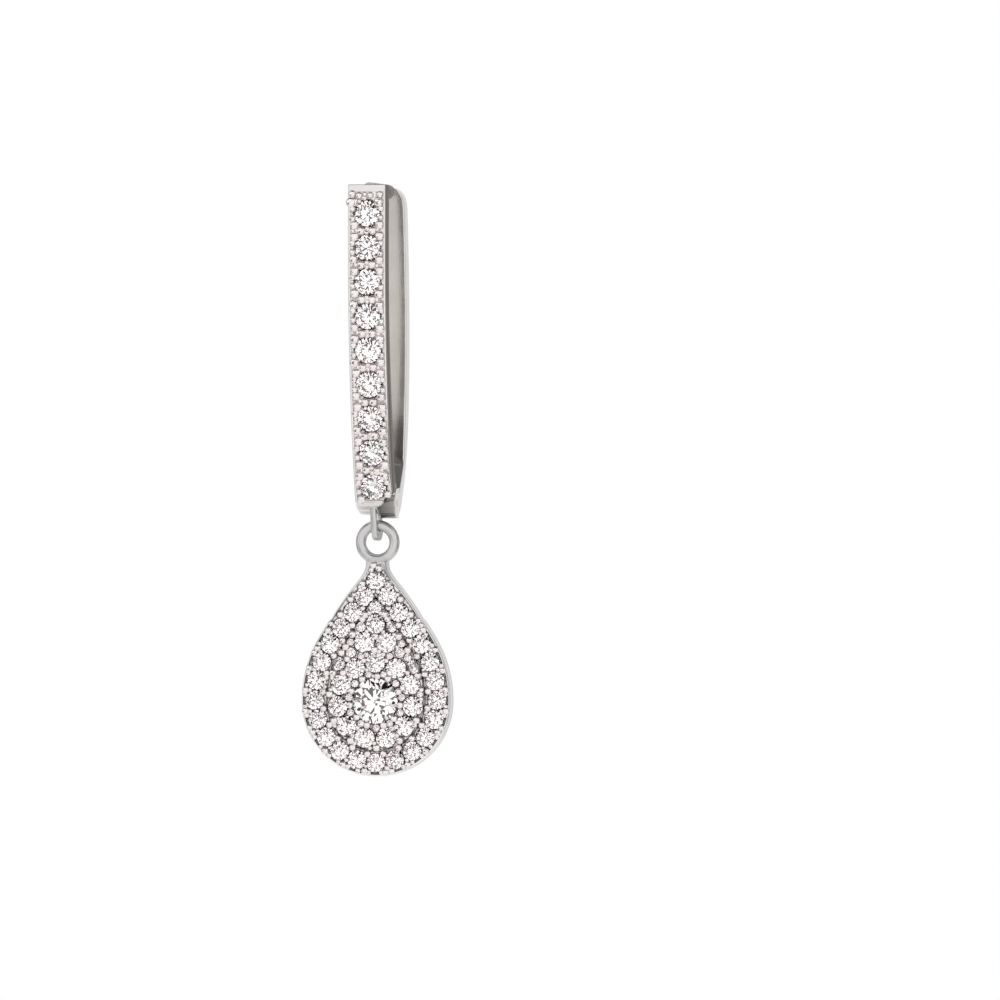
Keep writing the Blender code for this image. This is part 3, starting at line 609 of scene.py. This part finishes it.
def bail_shell(room=0.44, wall=0.28, wide=0.36, thicker=0.28, turn=math.radians(10), aside=0.03):
    """A strap bent into a U: a rounded section carried down the front leg, round the bend and up again.

    The section is a superellipse. Its outer side swells towards the bottom of the bend, and the whole
    is turned a little about the upright. Beside the hinge's ear it is kept clear of the ear."""
    seat = RING_TOP - RING_WIRE - 0.05
    mid = seat + room
    front_top, rear_top, lean = 0.74 - DROP, 0.45 - DROP, 0.14
    bend = np.linspace(np.pi, 2 * np.pi, 25)
    reach = room + wall / 2
    y = np.concatenate([[-reach - lean, -reach - lean / 2], reach * np.cos(bend), [reach, reach]]) + DROP_Y
    z = np.concatenate([[front_top, 0.5 * (front_top + mid)], mid + reach * np.sin(bend),
                        [0.5 * (rear_top + mid), rear_top]])
    path = np.stack([y, z], -1)
    along = np.gradient(path, axis=0)
    along /= np.linalg.norm(along, axis=1)[:, None]
    normal = np.stack([-along[:, 1], along[:, 0]], -1)
    a = 2 * np.pi * (np.arange(16) + 0.5) / 16
    s = np.sign(np.cos(a)) * np.abs(np.cos(a)) ** 0.5 * wide / 2
    t = np.sign(np.sin(a)) * np.abs(np.sin(a)) ** 0.5 * wall / 2
    x = np.repeat(s[None], len(path), 0)
    yz = path[:, None, :] + normal[:, None, :] * t[None, :, None]
    low = np.clip((mid - yz[..., 1]) / (mid - path[:, 1].min()), 0, 1) ** 2
    yz[..., 1] -= thicker * low * (t[None] * np.sign(-normal[:, 1:]) > 0)
    y = yz[..., 0] - DROP_Y
    across = x * math.cos(turn) + y * math.sin(turn) - aside
    beside_ear = yz[..., 1] > -DROP - 0.05
    across = np.where(beside_ear, np.minimum(across, KNUCKLE_EDGE + 0.03), across)
    return lofted(np.stack([across, DROP_Y + y * math.cos(turn) - x * math.sin(turn), yz[..., 1]], -1))


def post_shells():
    """The round ear post: circles along Y, closing to a rounded tip. Its solder block is a rounded box."""
    bar_back = HOOP_FRONT + BAR_WALL
    length = np.array([bar_back - 0.3, POST_END - 0.20, POST_END - 0.10, POST_END - 0.03, POST_END])
    radius = POST_R * np.array([1.0, 1.0, 0.96, 0.85, 0.68])
    a = 2 * np.pi * np.arange(40) / 40
    rows = np.stack([radius[:, None] * np.cos(a), np.repeat(length[:, None], 40, 1),
                     POST_R + radius[:, None] * np.sin(a)], -1)
    z = RISE - np.array([0.07, 0.07, 0.10, 0.16, 2.2, 2.27, 2.3, 2.3])
    inset = np.array([0.12, 0.06, 0.02, 0.0, 0.0, 0.02, 0.06, 0.12])
    half = HALF - 0.07 - inset
    block = rounded_box_rows(-half, half, bar_back - 0.25, bar_back + 0.4 - inset, z, 0.10)
    return [lofted(rows), lofted(block)]


def bar_line(z):
    """Depth and outward direction of the bar's front line at the heights z, from its slope over 0.1 mm."""
    slope = (at(z - 0.05, FRONT_FACE) - at(z + 0.05, FRONT_FACE)) / 0.1
    tilt = np.arctan(slope)
    return at(z, FRONT_FACE), np.stack([0 * z, -np.cos(tilt), -np.sin(tilt)], -1)


def bar_spots():
    """Centre and outward direction of each stone on the bar."""
    high, low = BAR_TOP - END_ROOM - BAR_STONE, BAR_LOW + BAR_STONE
    z = np.linspace(high, low, BAR_COUNT)
    y, out = bar_line(z)
    return np.stack([0 * z, y, z], -1), out


def bar_grid():
    """Points of the bar's channel that take a bead, clear of its walls and of the foot's slant."""
    grid = flat_grid(HALF - EDGE - 0.12, BAR_LOW + 0.12, BAR_TOP - 0.12, 0.06)
    return grid[grid[:, 0] < np.interp(grid[:, 1], CUT_Z, CUT_X) - 0.2]


def on_bar(across, z, lift=0.0):
    """A place on the bar's front line, lifted along its outward direction."""
    y, out = bar_line(np.array([z]))
    return placed(np.array([across, y[0], z]) + lift * out[0], out[0])


bar = bar_shell()
side, depth = bar[0][:, 0], bar[0][:, 1]
on_back = depth > at(bar[0][:, 2], FRONT_BACK) - 0.01
# Painted shade: the bar's right side keeps 0.60 of its colour, and a dark strip painted down the middle of
# its back keeps 0.38, which the band's inner face shows as a dark reflection
bar_painted_shade = np.where(side > HALF - 0.02, 0.60, 1.0)
bar_painted_shade = np.where(on_back & (side > -0.2) & (side < 0.25), 0.38, bar_painted_shade)
solid("bar", bar, BAR_GOLD, "front", ("hoop_front",), painted_shading=bar_painted_shade)
solid("foot", together(foot_shells()), FOOT_GOLD, "front", ("hoop_front",))
post = together(post_shells())
# Painted shade: the whole ear post keeps 0.55 of its colour
solid("ear_post", post, BAR_GOLD, "front", ("hoop_front",), painted_shading=np.full(len(post[0]), 0.55))
solid("bail", bail_shell(), RING_GOLD, "front", ("hoop_front",))

centres, outs = bar_spots()
for number, (centre, out) in enumerate(zip(centres, outs), 1):
    turn = float(chance.uniform(0, np.pi / 4))
    place = placed(centre - BAR_SUNK * out, out, turn)
    solid(f"set_stone_{number}", copies(brilliant(BAR_STONE), [place]), STONE, "front",
          (f"bar_stone_{number}",), 0)

# Four grains hold each stone. One that would stand beyond the foot's slanted edge is left out.
GRAIN_ACROSS, GRAIN_UP, GRAIN_JITTER = HALF - 0.37, 0.67, 0.025
bead_places = []
for z in centres[:, 2]:
    for side in (-1, 1):
        for end in (-1, 1):
            jitter = chance.uniform(-GRAIN_JITTER, GRAIN_JITTER, 2)
            size = float(chance.uniform(1.04, 1.18))
            across, up = side * GRAIN_ACROSS + jitter[0], z + end * GRAIN_UP + jitter[1]
            if across > np.interp(up, CUT_Z, CUT_X) - 0.25:
                continue
            spot = on_bar(across, up, -0.12)
            spot[:3, :3] = spot[:3, :3] * size
            bead_places.append(leaned(spot))
TOP_BEADS = (
    # across, height, size: the beads under the end plate, one of them large and past the edge
    (-0.92, -0.30, 1.25), (0.70, -0.22, 1.0), (-0.45, 0.10, 0.8), (0.20, 0.12, 0.7), (0.78, 0.16, 0.8))
for across, z, size in TOP_BEADS:
    bead_places.append(on_bar(across, z, -0.10) @ np.diag([size, size, size, 1.0]))
small_spots, small_sizes = fill_beads(
    np.vstack([centres[:, (0, 2)], [(p[0, 3], p[2, 3]) for p in bead_places]]),
    np.append(np.full(BAR_COUNT, BAR_STONE * 0.97), np.full(len(bead_places), GRAIN * 0.9)),
    bar_grid(), (0.20, 0.16, 0.13, 0.10))
bead_places += [leaned(on_bar(x, z, -0.08)) @ np.diag([size, size, size, 1.0])
                for (x, z), size in zip(small_spots, 1.25 * small_sizes / GRAIN)]
solid("bar_beads", copies(dome(GRAIN, 0.30, 12), bead_places), BEAD_GOLD, "front", ("hoop_front",),
      sharp=50)
grains = np.array(bead_places)
# The setting's metal has painted shade at the feet of the stones and grains
slab = setting_slab()
solid("bar_setting", slab, BRIGHT_CUT, "front", ("hoop_front",), sharp=20, painted_shading=painted_shade_factor(
    slab[0], centres[:, (0, 2)], np.full(BAR_COUNT, BAR_STONE), grains[:, (0, 2), 3],
    GRAIN * np.linalg.norm(grains[:, :3, 0], axis=1), 0.07, 0.46))


# Back half


def band_shell():
    """Rounded rectangles up the bowed band: its two faces are the outline and the outline less the wall.

    The upper end narrows as a superellipse, a little squarer than round."""
    spring = RISE - END_ROUND
    rise = spring + END_ROUND * np.sin(np.linspace(0, np.pi / 2 - 0.02, 30))
    z = np.concatenate([np.linspace(BAND_LOW, spring - 0.05, 110), rise])
    share = np.clip((z - spring) / END_ROUND, 0, 1)
    half = HALF * np.maximum(1 - share ** 2.6, 0.0) ** (1 / 2.6)
    return lofted(rounded_box_rows(-half, half, at(z, BACK_INSIDE), at(z, BACK_FACE), z, 0.08))


def ear_shell():
    """The band's foot carried on to the hinge: the right ear is a cylinder about the pin."""
    low, high, band_end = PIN[1] - EAR_R, PIN[1] + EAR_R, BACK_INSIDE[0].min()
    z = np.concatenate([np.linspace(-16.6, low + 0.25, 40),
                        low + 0.25 * (1 - np.sin(np.linspace(0.05, 1.55, 12)))])
    circle = np.sqrt(np.maximum(EAR_R ** 2 - (z - PIN[1]) ** 2, 0.0))
    inner = np.interp(z, [high, band_end], [PIN[0] - 0.02, BACK_INSIDE[1][-1]])
    front = np.where(z > band_end, at(z, BACK_INSIDE), inner)
    front = np.where(z > high, front, PIN[0] - circle)
    back = np.maximum(at(z, BACK_FACE), PIN[0] + circle)
    under = IN_BAND * (z > BAND_LOW + 0.01)
    return lofted(rounded_box_rows(KNUCKLE_EDGE + HINGE_GAP, HALF - under, front + under,
                                   np.maximum(back, front + 0.04) - under, z, 0.06))


def heel_shell():
    """The left part of the band's foot, cut short behind the knuckle.

    Its front keeps the hinge's gap to the knuckle's circle, and below the pin a slope of 10 degrees."""
    z = np.linspace(-17.25, -18.15, 16)
    circle = np.sqrt(np.maximum((KNUCKLE_R + HINGE_GAP) ** 2 - (z - PIN[1]) ** 2, 0.0))
    front = np.maximum(PIN[0] + circle, PIN[0] + 0.36)
    back = at(z, BACK_FACE)
    floor = PIN[0] + (PIN[1] - z) / math.tan(math.radians(10))
    front = np.where(z < PIN[1], np.maximum(front, floor), front)
    keep = back - front > 0.06
    z, front, back = z[keep], front[keep], back[keep]
    under = IN_BAND * (z > BAND_LOW + 0.01)
    right = KNUCKLE_EDGE + HINGE_GAP + 0.05
    return lofted(rounded_box_rows(-HALF + under, right, front, back - under, z, 0.06))


def notch_cutter():
    """What the open-topped notch takes away: a rounded trough along Y."""
    r, above = POST_R + POST_GAP, 3.0
    a = np.linspace(np.pi, 2 * np.pi, 33)
    x = np.concatenate([r * np.cos(a), [r, -r]])
    z = np.concatenate([POST_R + r * np.sin(a), [above, above]])
    rows = [np.stack([x, np.full(len(x), y), z], -1) for y in (0.0, 6.0)]
    return lofted(np.array(rows))


def cut_notch(piece, cutter):
    """The piece less the cutter's shape, as a plain mesh."""
    tool = shown("trough", mesh_of("trough", cutter))
    cut = piece.modifiers.new("notch", "BOOLEAN")
    cut.object = tool
    cut.operation = "DIFFERENCE"
    cut.solver = "EXACT"
    bpy.context.view_layer.update()
    shape = bpy.data.meshes.new_from_object(piece.evaluated_get(bpy.context.evaluated_depsgraph_get()))
    piece.modifiers.clear()
    piece.data = shape
    shape.set_sharp_from_angle(angle=math.radians(30))
    bpy.data.objects.remove(tool)


back = solid("back_band", band_shell(), GOLD, "back", ("hoop_back",))
cut_notch(back, notch_cutter())
hinge = together([ear_shell(), heel_shell()])
# Painted shadow: the ear's front is darkened as if in the bar's shadow, most of all beside the knuckle
hinge_painted_shadow = np.interp(hinge[0][:, 0], [0.2, HALF - 0.07, HALF], [0.18, 0.42, 1.0])
hinge_painted_shadow = np.where(hinge[0][:, 1] > PIN[0], 1.0, hinge_painted_shadow)
solid("back_hinge", hinge, HINGE_GOLD, "back", ("hoop_back",), painted_shading=hinge_painted_shadow)


def pin_shell():
    """Circles along X about the hinge's axis, closing to a low rounded head at both ends."""
    head = np.array([(-0.028, 0.10), (-0.022, 0.18), (-0.010, 0.225), (0.01, 0.245), (0.04, PIN_R)])
    ends = np.vstack([head - (HALF, 0.0), head[::-1] * (-1, 1) + (HALF, 0.0)])
    a = 2 * np.pi * np.arange(32) / 32
    return lofted(np.stack([np.repeat(ends[:, :1], 32, 1),
                            PIN[0] + ends[:, 1:] * np.cos(a), PIN[1] + ends[:, 1:] * np.sin(a)], -1))


solid("pin", pin_shell(), GOLD, "front", ("hinge_pin",))


# Drop


def round_end(inset, count):
    """Right half of the round lower end, and above it the flatter flank, inset from the outline."""
    turn = np.linspace(FLANK_A, 0, count // 3, endpoint=False)
    flank = (FLANK_R - inset) * np.stack([np.cos(turn), np.sin(turn)], -1) + (ROUND_R - FLANK_R, 0.0)
    turn = np.linspace(0, -np.pi / 2, count - count // 3)
    return np.vstack([flank, (ROUND_R - inset) * np.stack([np.cos(turn), np.sin(turn)], -1)])


def flank_top(inset):
    """Where the flank's arc ends, and how high its tangent meets the middle line."""
    across = ROUND_R - FLANK_R + (FLANK_R - inset) * math.cos(FLANK_A)
    up = (FLANK_R - inset) * math.sin(FLANK_A)
    return across, up, up + across / math.tan(FLANK_A)


SHOULDER = np.array([
    # across, height: the hollow shoulder from the flank up to the neck
    (2.71, -24.78), (2.425, -24.30), (1.957, -23.60), (1.43, -22.89), (1.07, -22.47), (0.865, -22.19),
    (0.70, -21.92), (0.626, -21.72), (0.60, -21.50), (0.60, -21.28),
])
A0, U0, _ = flank_top(0.0)
NECK_UP = 7.766
NECK_TOP, CHANNEL_TOP = -21.28, -21.40
LOW = RING_MID - RING_R - 0.55 - NECK_UP


def teardrop_row(inset, y, count=72, tip=30):
    """Closed teardrop at one inset, straight flanks limited by the hollow shoulders and a rounded point.

    A flank lies at (apex - height) times the tangent of its angle, or on the shoulder less the inset,
    whichever is nearer to the middle. The point is rounded by the square root of the way down.
    The rim is wider at the top, so the shoulders are inset by more there than the flanks."""
    side = round_end(inset, count)
    across, up, apex = flank_top(inset)
    open_top = inset < 0.10
    highest = NECK_TOP if open_top else min(LOW + apex, CHANNEL_TOP - 0.9 * (inset - RIM))
    z = highest + (LOW + up - highest) * np.linspace(0, 1, tip, endpoint=False) ** 1.3
    flank = (LOW + apex - z) * math.tan(FLANK_A)
    hollow = np.interp(z, SHOULDER[:, 1], SHOULDER[:, 0], left=9.0)
    more = np.interp(z, [-24.0, -21.7], [1.0, 2.0])
    x = np.minimum(flank, hollow - inset * (1.0 if open_top else more))
    if not open_top:
        x = x * np.sqrt(np.clip((highest - z) / 0.30, 0.0, 1.0))
    x[0] = 0.0
    top = np.stack([np.maximum(x, 0.0), z - LOW], -1)
    right = np.vstack([top, side])
    left = right[-2:0:-1] * (-1, 1)
    outline = np.vstack([right, left])
    return np.stack([outline[:, 0], np.full(len(outline), y), outline[:, 1] + LOW], -1)


def cup_shell():
    """The cup: teardrops from the back's middle round the side, over the rim and down into the channel."""
    back = DROP_Y + THICK / 2
    halo = RIM + HALO_WIDTH
    steps = [
        (3.0, back), (2.0, back), (0.22, back),
        (0.10, back - 0.02), (0.03, back - 0.07), (0.0, back - 0.16),
        (0.0, FRONT_Y + 0.10), (0.02, FRONT_Y + 0.03), (0.05, FRONT_Y),
        (LIP - 0.02, FRONT_Y), (LIP, FRONT_Y + 0.04), (LIP + 0.01, FRONT_Y + HALO_DEEP),
        (halo - 0.03, FRONT_Y + HALO_DEEP), (halo, FRONT_Y + HALO_DEEP + 0.04),
        (halo + 0.01, FRONT_Y + WELL_DEEP), (halo + 0.3, FRONT_Y + WELL_DEEP), (3.6, FRONT_Y + WELL_DEEP),
    ]
    return lofted(np.array([teardrop_row(inset, y) for inset, y in steps]))


def halo_slab():
    """The outer row's setting: teardrops from the rim to the inner border, sunk by the seats."""
    inset = np.linspace(LIP + 0.005, RIM + HALO_WIDTH - 0.005, 34)
    rows = np.array([teardrop_row(i, FRONT_Y + HALO_SUNK, 250, 90) for i in inset])
    stones = np.insert(halo + (0, LOW), 1, FRONT_Y + HALO_SUNK, axis=1)
    rise = seat_height(rows.reshape(-1, 3), stones, halo_size, 0.05)
    edge = np.clip(np.minimum(inset - inset[0], inset[-1] - inset) / 0.06, 0, 1)[:, None]
    rows[..., 1] -= rise.reshape(rows.shape[:2]) * edge
    under = rows[(-1, 0), :]
    under[..., 1] = FRONT_Y + HALO_DEEP - 0.01
    return ringed(np.concatenate([rows, under]))


def ring_shell():
    """A torus: circles of the wire's radius round a circle in the XZ plane."""
    u, v = np.meshgrid(2 * np.pi * np.arange(72) / 72, 2 * np.pi * np.arange(28) / 28, indexing="ij")
    r = RING_R + RING_WIRE * np.cos(v)
    return ringed(np.stack([r * np.cos(u), DROP_Y + RING_WIRE * np.sin(v), RING_MID + r * np.sin(u)], -1))


def neck_shell():
    """Rounded rectangles from inside the ring's wire down into the shoulders."""
    low, full = -22.1, -21.42
    z = np.concatenate([np.linspace(RING_MID - RING_R + 0.12, full, 20), [-21.7, low]])
    half = np.interp(z, [low, -21.5, -21.25, -21.0], [0.66, 0.59, 0.585, 0.52])
    thick = np.interp(z, [low, full, -21.30, -21.00], [0.58, 0.56, 0.37, 0.29])
    return lofted(rounded_box_rows(-half, half, DROP_Y - thick, DROP_Y + thick, z, 0.14))


def plate_shell():
    """The inner teardrop: a low cushion, its front edge rounded over."""
    edge = RIM + HALO_WIDTH + 0.06
    front = FRONT_Y - PROUD
    steps = [(3.9, FRONT_Y + WELL_DEEP - 0.02), (edge, FRONT_Y + WELL_DEEP - 0.02), (edge, front + 0.10),
             (edge + 0.02, front + 0.05)]
    inset = np.append(np.linspace(edge + 0.05, 4.0, 58), [4.2, 4.36])
    steps += [(i, FRONT_Y + FIELD_SUNK) for i in inset]
    rows = np.array([teardrop_row(inset, y, 200, 60) for inset, y in steps])
    top = rows[4:]
    stones = np.insert(with_centre(field) + (0, LOW), 1, FRONT_Y + FIELD_SUNK, axis=1)
    radii = np.append(FIELD_STONE * field_size, CENTRE_STONE)
    rise = seat_height(top.reshape(-1, 3), stones, radii, 0.06).reshape(top.shape[:2])
    border = np.clip((inset - inset[0]) / 0.15, 0, 1)[:, None]
    top[..., 1] -= rise * border - 0.06 * (1 - border)
    return lofted(rows)


def spread_along(path, count):
    """Points at equal distances along a closed path."""
    path = np.vstack([path, path[:1]])
    far = np.concatenate([[0], np.cumsum(np.linalg.norm(np.diff(path, axis=0), axis=1))])
    want = far[-1] * np.arange(count) / count
    return np.stack([np.interp(want, far, path[:, 0]), np.interp(want, far, path[:, 1])], -1)


def halo_spots():
    """The outer row: as many stones as fit on the teardrop halfway across the row, at equal distances."""
    inset = RIM + HALO_WIDTH / 2 - 0.03
    right = round_end(inset, 90)
    apex = np.array([[0.0, flank_top(inset)[2] - 0.58]])
    path = np.vstack([apex, right, right[-2::-1] * (-1, 1)])
    length = np.linalg.norm(np.diff(np.vstack([path, path[:1]]), axis=0), axis=1).sum()
    return spread_along(path, int(length / (2 * HALO_STONE * 1.05)))


def with_centre(spots):
    """The spots and the drop's middle, where the large stone sits."""
    return np.vstack([spots, [(0.0, 0.0)]])


def facing(spots, depth, sizes=None, tilt=0.0):
    """Places on the drop's front for (across, up) spots, depth in millimetres behind the rim."""
    made = []
    for number, (x, z) in enumerate(spots):
        lean = chance.normal(0, tilt, 2) if tilt else (0.0, 0.0)
        turn = float(chance.uniform(0, np.pi))
        place = placed((x, FRONT_Y + depth, z + LOW), (lean[0], -1.0, lean[1]), turn)
        if sizes is not None:
            place[:3, :3] = place[:3, :3] * sizes[number]
        made.append(place)
    return made


def inset_of(points):
    """How far points lie inside the outline: from the round end, the flank's arc or its straight."""
    x, z = np.abs(points[:, 0]), points[:, 1]
    turn = np.arctan2(z, x - (ROUND_R - FLANK_R))
    lower = ROUND_R - np.hypot(x, z)
    flank = FLANK_R - np.hypot(x - (ROUND_R - FLANK_R), z)
    straight = (A0 - x) * math.cos(FLANK_A) + (U0 - z) * math.sin(FLANK_A)
    return np.where(z < 0, lower, np.where(turn < FLANK_A, flank, straight))


def on_cup(inner, outer):
    """Grid points of the drop between two insets, and inside the narrow top of the channel."""
    grid = flat_grid(5.0, -6.0, 9.0)
    deep = inset_of(grid)
    hollow = np.interp(grid[:, 1] + LOW, SHOULDER[:, 1], SHOULDER[:, 0], left=9.0) - 2 * RIM - 0.05
    top = CHANNEL_TOP - LOW - 0.12
    return grid[(deep > inner) & (deep < outer) & (np.abs(grid[:, 0]) < hollow) & (grid[:, 1] < top)]


FIELD = np.array([
    # across, up, size: shares of the round end's radius and of a field stone's radius
    (-0.148, 0.775, 1.00), (0.148, 0.775, 1.00), (-0.330, 0.640, 0.50), (0.330, 0.640, 0.50),
    (0.000, 1.020, 0.95), (0.000, 1.240, 0.62),
])
# Round the centre stone lies a ring of stones, above it a few more, and smaller ones fill the gaps
HALO_EDGE, ANYWHERE = RIM + HALO_WIDTH, 9.0
circle_r = 0.512 * ROUND_R
count = int(2 * math.pi * circle_r / (2 * FIELD_STONE * 1.07))
turns = np.pi / 2 + 2 * np.pi * np.arange(count) / count
field = np.vstack([FIELD[:, :2] * ROUND_R, circle_r * np.stack([np.cos(turns), np.sin(turns)], -1)])
field_size = np.append(FIELD[:, 2], np.ones(count))
small, small_size = fill_beads(
    with_centre(field), np.append(field_size * FIELD_STONE, CENTRE_STONE) + 0.02,
    on_cup(HALO_EDGE + 0.30, ANYWHERE), (0.42, 0.34, 0.27, 0.22, 0.18))
field, field_size = np.vstack([field, small]), np.append(field_size, small_size / FIELD_STONE)
halo = halo_spots()
halo_size = np.full(len(halo), HALO_LOOK)

cup = cup_shell()
# Painted shade: the cup's shoulders darken towards the neck, to 0.70 of the colour at the top
shoulder_painted_shade = np.interp(cup[0][:, 2], [-23.2, -21.7], [1.0, 0.70])
solid("drop_cup", cup, CUP_GOLD, "drop", ("drop_setting",), painted_shading=shoulder_painted_shade)
solid("drop_ring", together([ring_shell(), neck_shell()]), RING_GOLD, "drop", ("drop_setting",))

for number, place in enumerate(facing(halo, HALO_SUNK, tilt=0.05), 1):
    solid(f"halo_set_{number}", copies(brilliant(HALO_LOOK), [place]), STONE, "drop",
          (f"halo_stone_{number}",), 0)
solid("centre_set", copies(brilliant(CENTRE_STONE), facing([(0.0, 0.0)], FIELD_SUNK - 0.02)), STONE, "drop",
      ("centre_stone",), 0)
places = facing(field, FIELD_SUNK, field_size, tilt=0.05)
solid("field_stones", copies(brilliant(FIELD_STONE), places), STONE, "drop",
      ("pave_plate",), 0)

# The beads are larger than the gaps they fill, so they overlap the girdles. At their feet the metal has
# painted shade, DARK wide and LEAST at its darkest.
OVERLAP, DARK, LEAST = 1.35, 0.095, 0.05


def drop_beads(name, spots, sizes, sunk, node):
    """Beads on the drop's front, each tipped a little."""
    places = facing(spots, sunk, sizes, tilt=0.16)
    solid(name, copies(dome(1.0, 1.15, 10), places), BEAD_GOLD, "drop", (node,), sharp=50)


spots, sizes = fill_beads(halo, halo_size * 0.93, on_cup(LIP + 0.08, HALO_EDGE - 0.10), (0.16, 0.11, 0.09))
sizes = OVERLAP * sizes
drop_beads("halo_beads", spots, sizes, HALO_SUNK, "drop_setting")
slab = halo_slab()
# Painted shade: the metal beside the rim is darkened, down to 0.05 of its colour at the lip, and so is the
# metal at the feet of the stones and beads
rim_painted_shade = np.clip((inset_of(slab[0][:, (0, 2)] - (0, LOW)) - LIP) / 0.13, 0.05, 1.0)
solid("halo_setting", slab, BRIGHT_CUT, "drop", ("drop_setting",), sharp=20, painted_shading=rim_painted_shade * painted_shade_factor(
    slab[0], halo + (0, LOW), halo_size, spots + (0, LOW), sizes, DARK, LEAST))
spots, sizes = fill_beads(
    with_centre(field), np.append(0.93 * field_size * FIELD_STONE, CENTRE_STONE * 0.97),
    on_cup(HALO_EDGE + 0.19, ANYWHERE), (0.17, 0.14, 0.10))
sizes = OVERLAP * sizes
drop_beads("field_beads", spots, sizes, FIELD_SUNK, "pave_plate")
# The plate's metal has painted shade at the feet of the stones and beads
slab = plate_shell()
solid("inner_plate", slab, BRIGHT_CUT, "drop", ("pave_plate",), sharp=20, painted_shading=painted_shade_factor(
    slab[0], with_centre(field) + (0, LOW), np.append(field_size * FIELD_STONE, CENTRE_STONE),
    spots + (0, LOW), sizes, DARK, LEAST))


# Studio


def studio():
    """Long lens at the photo's angle, a white room and a pale table under the hanging earring.

    The room's tone depends on how far a direction is turned from the camera's side of the object: 1 is
    straight towards it, 0 straight behind. Lamps at the sides and a darker ceiling are laid over that."""
    scene = bpy.context.scene
    angle, away = math.radians(9.5), 0.8
    per_mm, centre_across, centre_up = 17, 7.118, -17.718
    right = np.array([math.cos(angle), math.sin(angle), 0.0])
    back = np.array([math.sin(angle), -math.cos(angle), 0.0])
    target = right * centre_across * MM + np.array([0, 0, centre_up * MM])
    lens = bpy.data.cameras.new("long_lens")
    lens.sensor_width = 36.0
    lens.lens = lens.sensor_width * away / (1000 / per_mm * MM)
    lens.clip_start, lens.clip_end = 0.05, 20.0
    camera = shown("long_lens", lens)
    camera.location = target + back * away
    camera.rotation_euler = (math.pi / 2, 0.0, angle)
    scene.camera = camera
    scene.view_settings.view_transform = "Standard"

    radius, height = 0.08, -0.06
    turn = 2 * np.pi * np.arange(96) / 96
    rim = np.stack([radius * np.cos(turn), radius * np.sin(turn), np.full(96, height)], -1)
    mesh = bpy.data.meshes.new("table")
    mesh.from_pydata(rim.tolist(), [], [list(range(96))])
    table = shown("table", mesh)
    pale = bpy.data.materials.new("pale_table")
    pale.use_nodes = True
    shader = pale.node_tree.nodes["Principled BSDF"]
    shader.inputs["Base Color"].default_value = (0.9, 0.9, 0.9, 1.0)
    shader.inputs["Roughness"].default_value = 0.6
    mesh.materials.append(pale)

    world = bpy.data.worlds.new("white_room")
    world.use_nodes = True
    scene.world = world
    nodes, links = world.node_tree.nodes, world.node_tree.links
    way = nodes.new("ShaderNodeTexCoord").outputs["Generated"]

    def shades(source, stops):
        """Grey tones along a value, straight between the stops."""
        return tones(nodes, links, source, [(position, (grey, grey, grey)) for position, grey in stops])

    def light(colour, strength):
        """Light of a colour, or white."""
        glow = nodes.new("ShaderNodeBackground")
        glow.inputs["Strength"].default_value = strength
        if colour is not None:
            links.new(colour, glow.inputs["Color"])
        else:
            glow.inputs["Color"].default_value = (1.0, 1.0, 1.0, 1.0)
        return glow.outputs["Background"]

    def choose(switch, off, on):
        """One light where the switch is 0, the other where it is 1."""
        choice = nodes.new("ShaderNodeMixShader")
        links.new(switch, choice.inputs["Fac"])
        links.new(off, choice.inputs[1])
        links.new(on, choice.inputs[2])
        return choice.outputs["Shader"]

    def lamps(scale, stops):
        """Flat-sided patches of light and dark, one value to a cell."""
        cells = nodes.new("ShaderNodeTexVoronoi")
        cells.inputs["Scale"].default_value = scale
        links.new(way, cells.inputs["Vector"])
        tone = nodes.new("ShaderNodeSeparateColor")
        links.new(cells.outputs["Color"], tone.inputs["Color"])
        return shades(tone.outputs["Red"], stops), cells.outputs["Color"]

    axis = nodes.new("ShaderNodeVectorMath")
    axis.operation = "DOT_PRODUCT"
    axis.inputs[1].default_value = tuple(back)
    links.new(way, axis.inputs[0])
    turned = nodes.new("ShaderNodeMapRange")
    turned.inputs["From Min"].default_value = -1.0
    links.new(axis.outputs["Value"], turned.inputs["Value"])
    tent = shades(turned.outputs["Result"], (
        (0.0, 0.80), (0.10, 0.66), (0.16, 0.38), (0.38, 0.46), (0.60, 0.48),
        (0.80, 0.42), (0.92, 0.92), (1.0, 0.96)))
    sides = shades(turned.outputs["Result"], (
        (0.12, 0.0), (0.25, 0.25), (0.50, 0.40), (0.72, 0.75), (0.87, 0.75), (0.93, 0.0)))
    strips, _ = lamps(2.7, ((0.0, 0.08), (0.40, 0.10), (0.56, 0.8), (1.0, 1.5)))
    panels, tints = lamps(2.3, ((0.0, 0.0), (0.48, 0.01), (0.51, 0.5), (0.64, 0.9), (1.0, 1.0)))
    upright = nodes.new("ShaderNodeSeparateXYZ")
    links.new(way, upright.inputs["Vector"])
    overhead = shades(upright.outputs["Z"], ((0.0, 1.0), (0.62, 1.0), (0.82, 0.30), (1.0, 0.25)))
    hue = nodes.new("ShaderNodeMix")
    hue.data_type = "RGBA"
    hue.inputs["Factor"].default_value = 0.14
    hue.inputs["A"].default_value = (1.0, 0.945, 0.94, 1.0)
    links.new(tints, hue.inputs["B"])
    sparkle = 2.1
    eye = nodes.new("ShaderNodeLightPath")
    around = mixed(nodes, links, tent, strips, sides)
    mirrored = light(mixed(nodes, links, overhead, around), 1.0)
    plain = choose(eye.outputs["Is Diffuse Ray"], mirrored, light(None, 1.0))
    crisp = light(mixed(nodes, links, hue.outputs["Result"], panels), sparkle)
    inside = choose(eye.outputs["Is Transmission Ray"], plain, crisp)
    room = choose(eye.outputs["Is Camera Ray"], inside, light(None, 1.0))
    links.new(room, nodes["World Output"].inputs["Surface"])


studio()
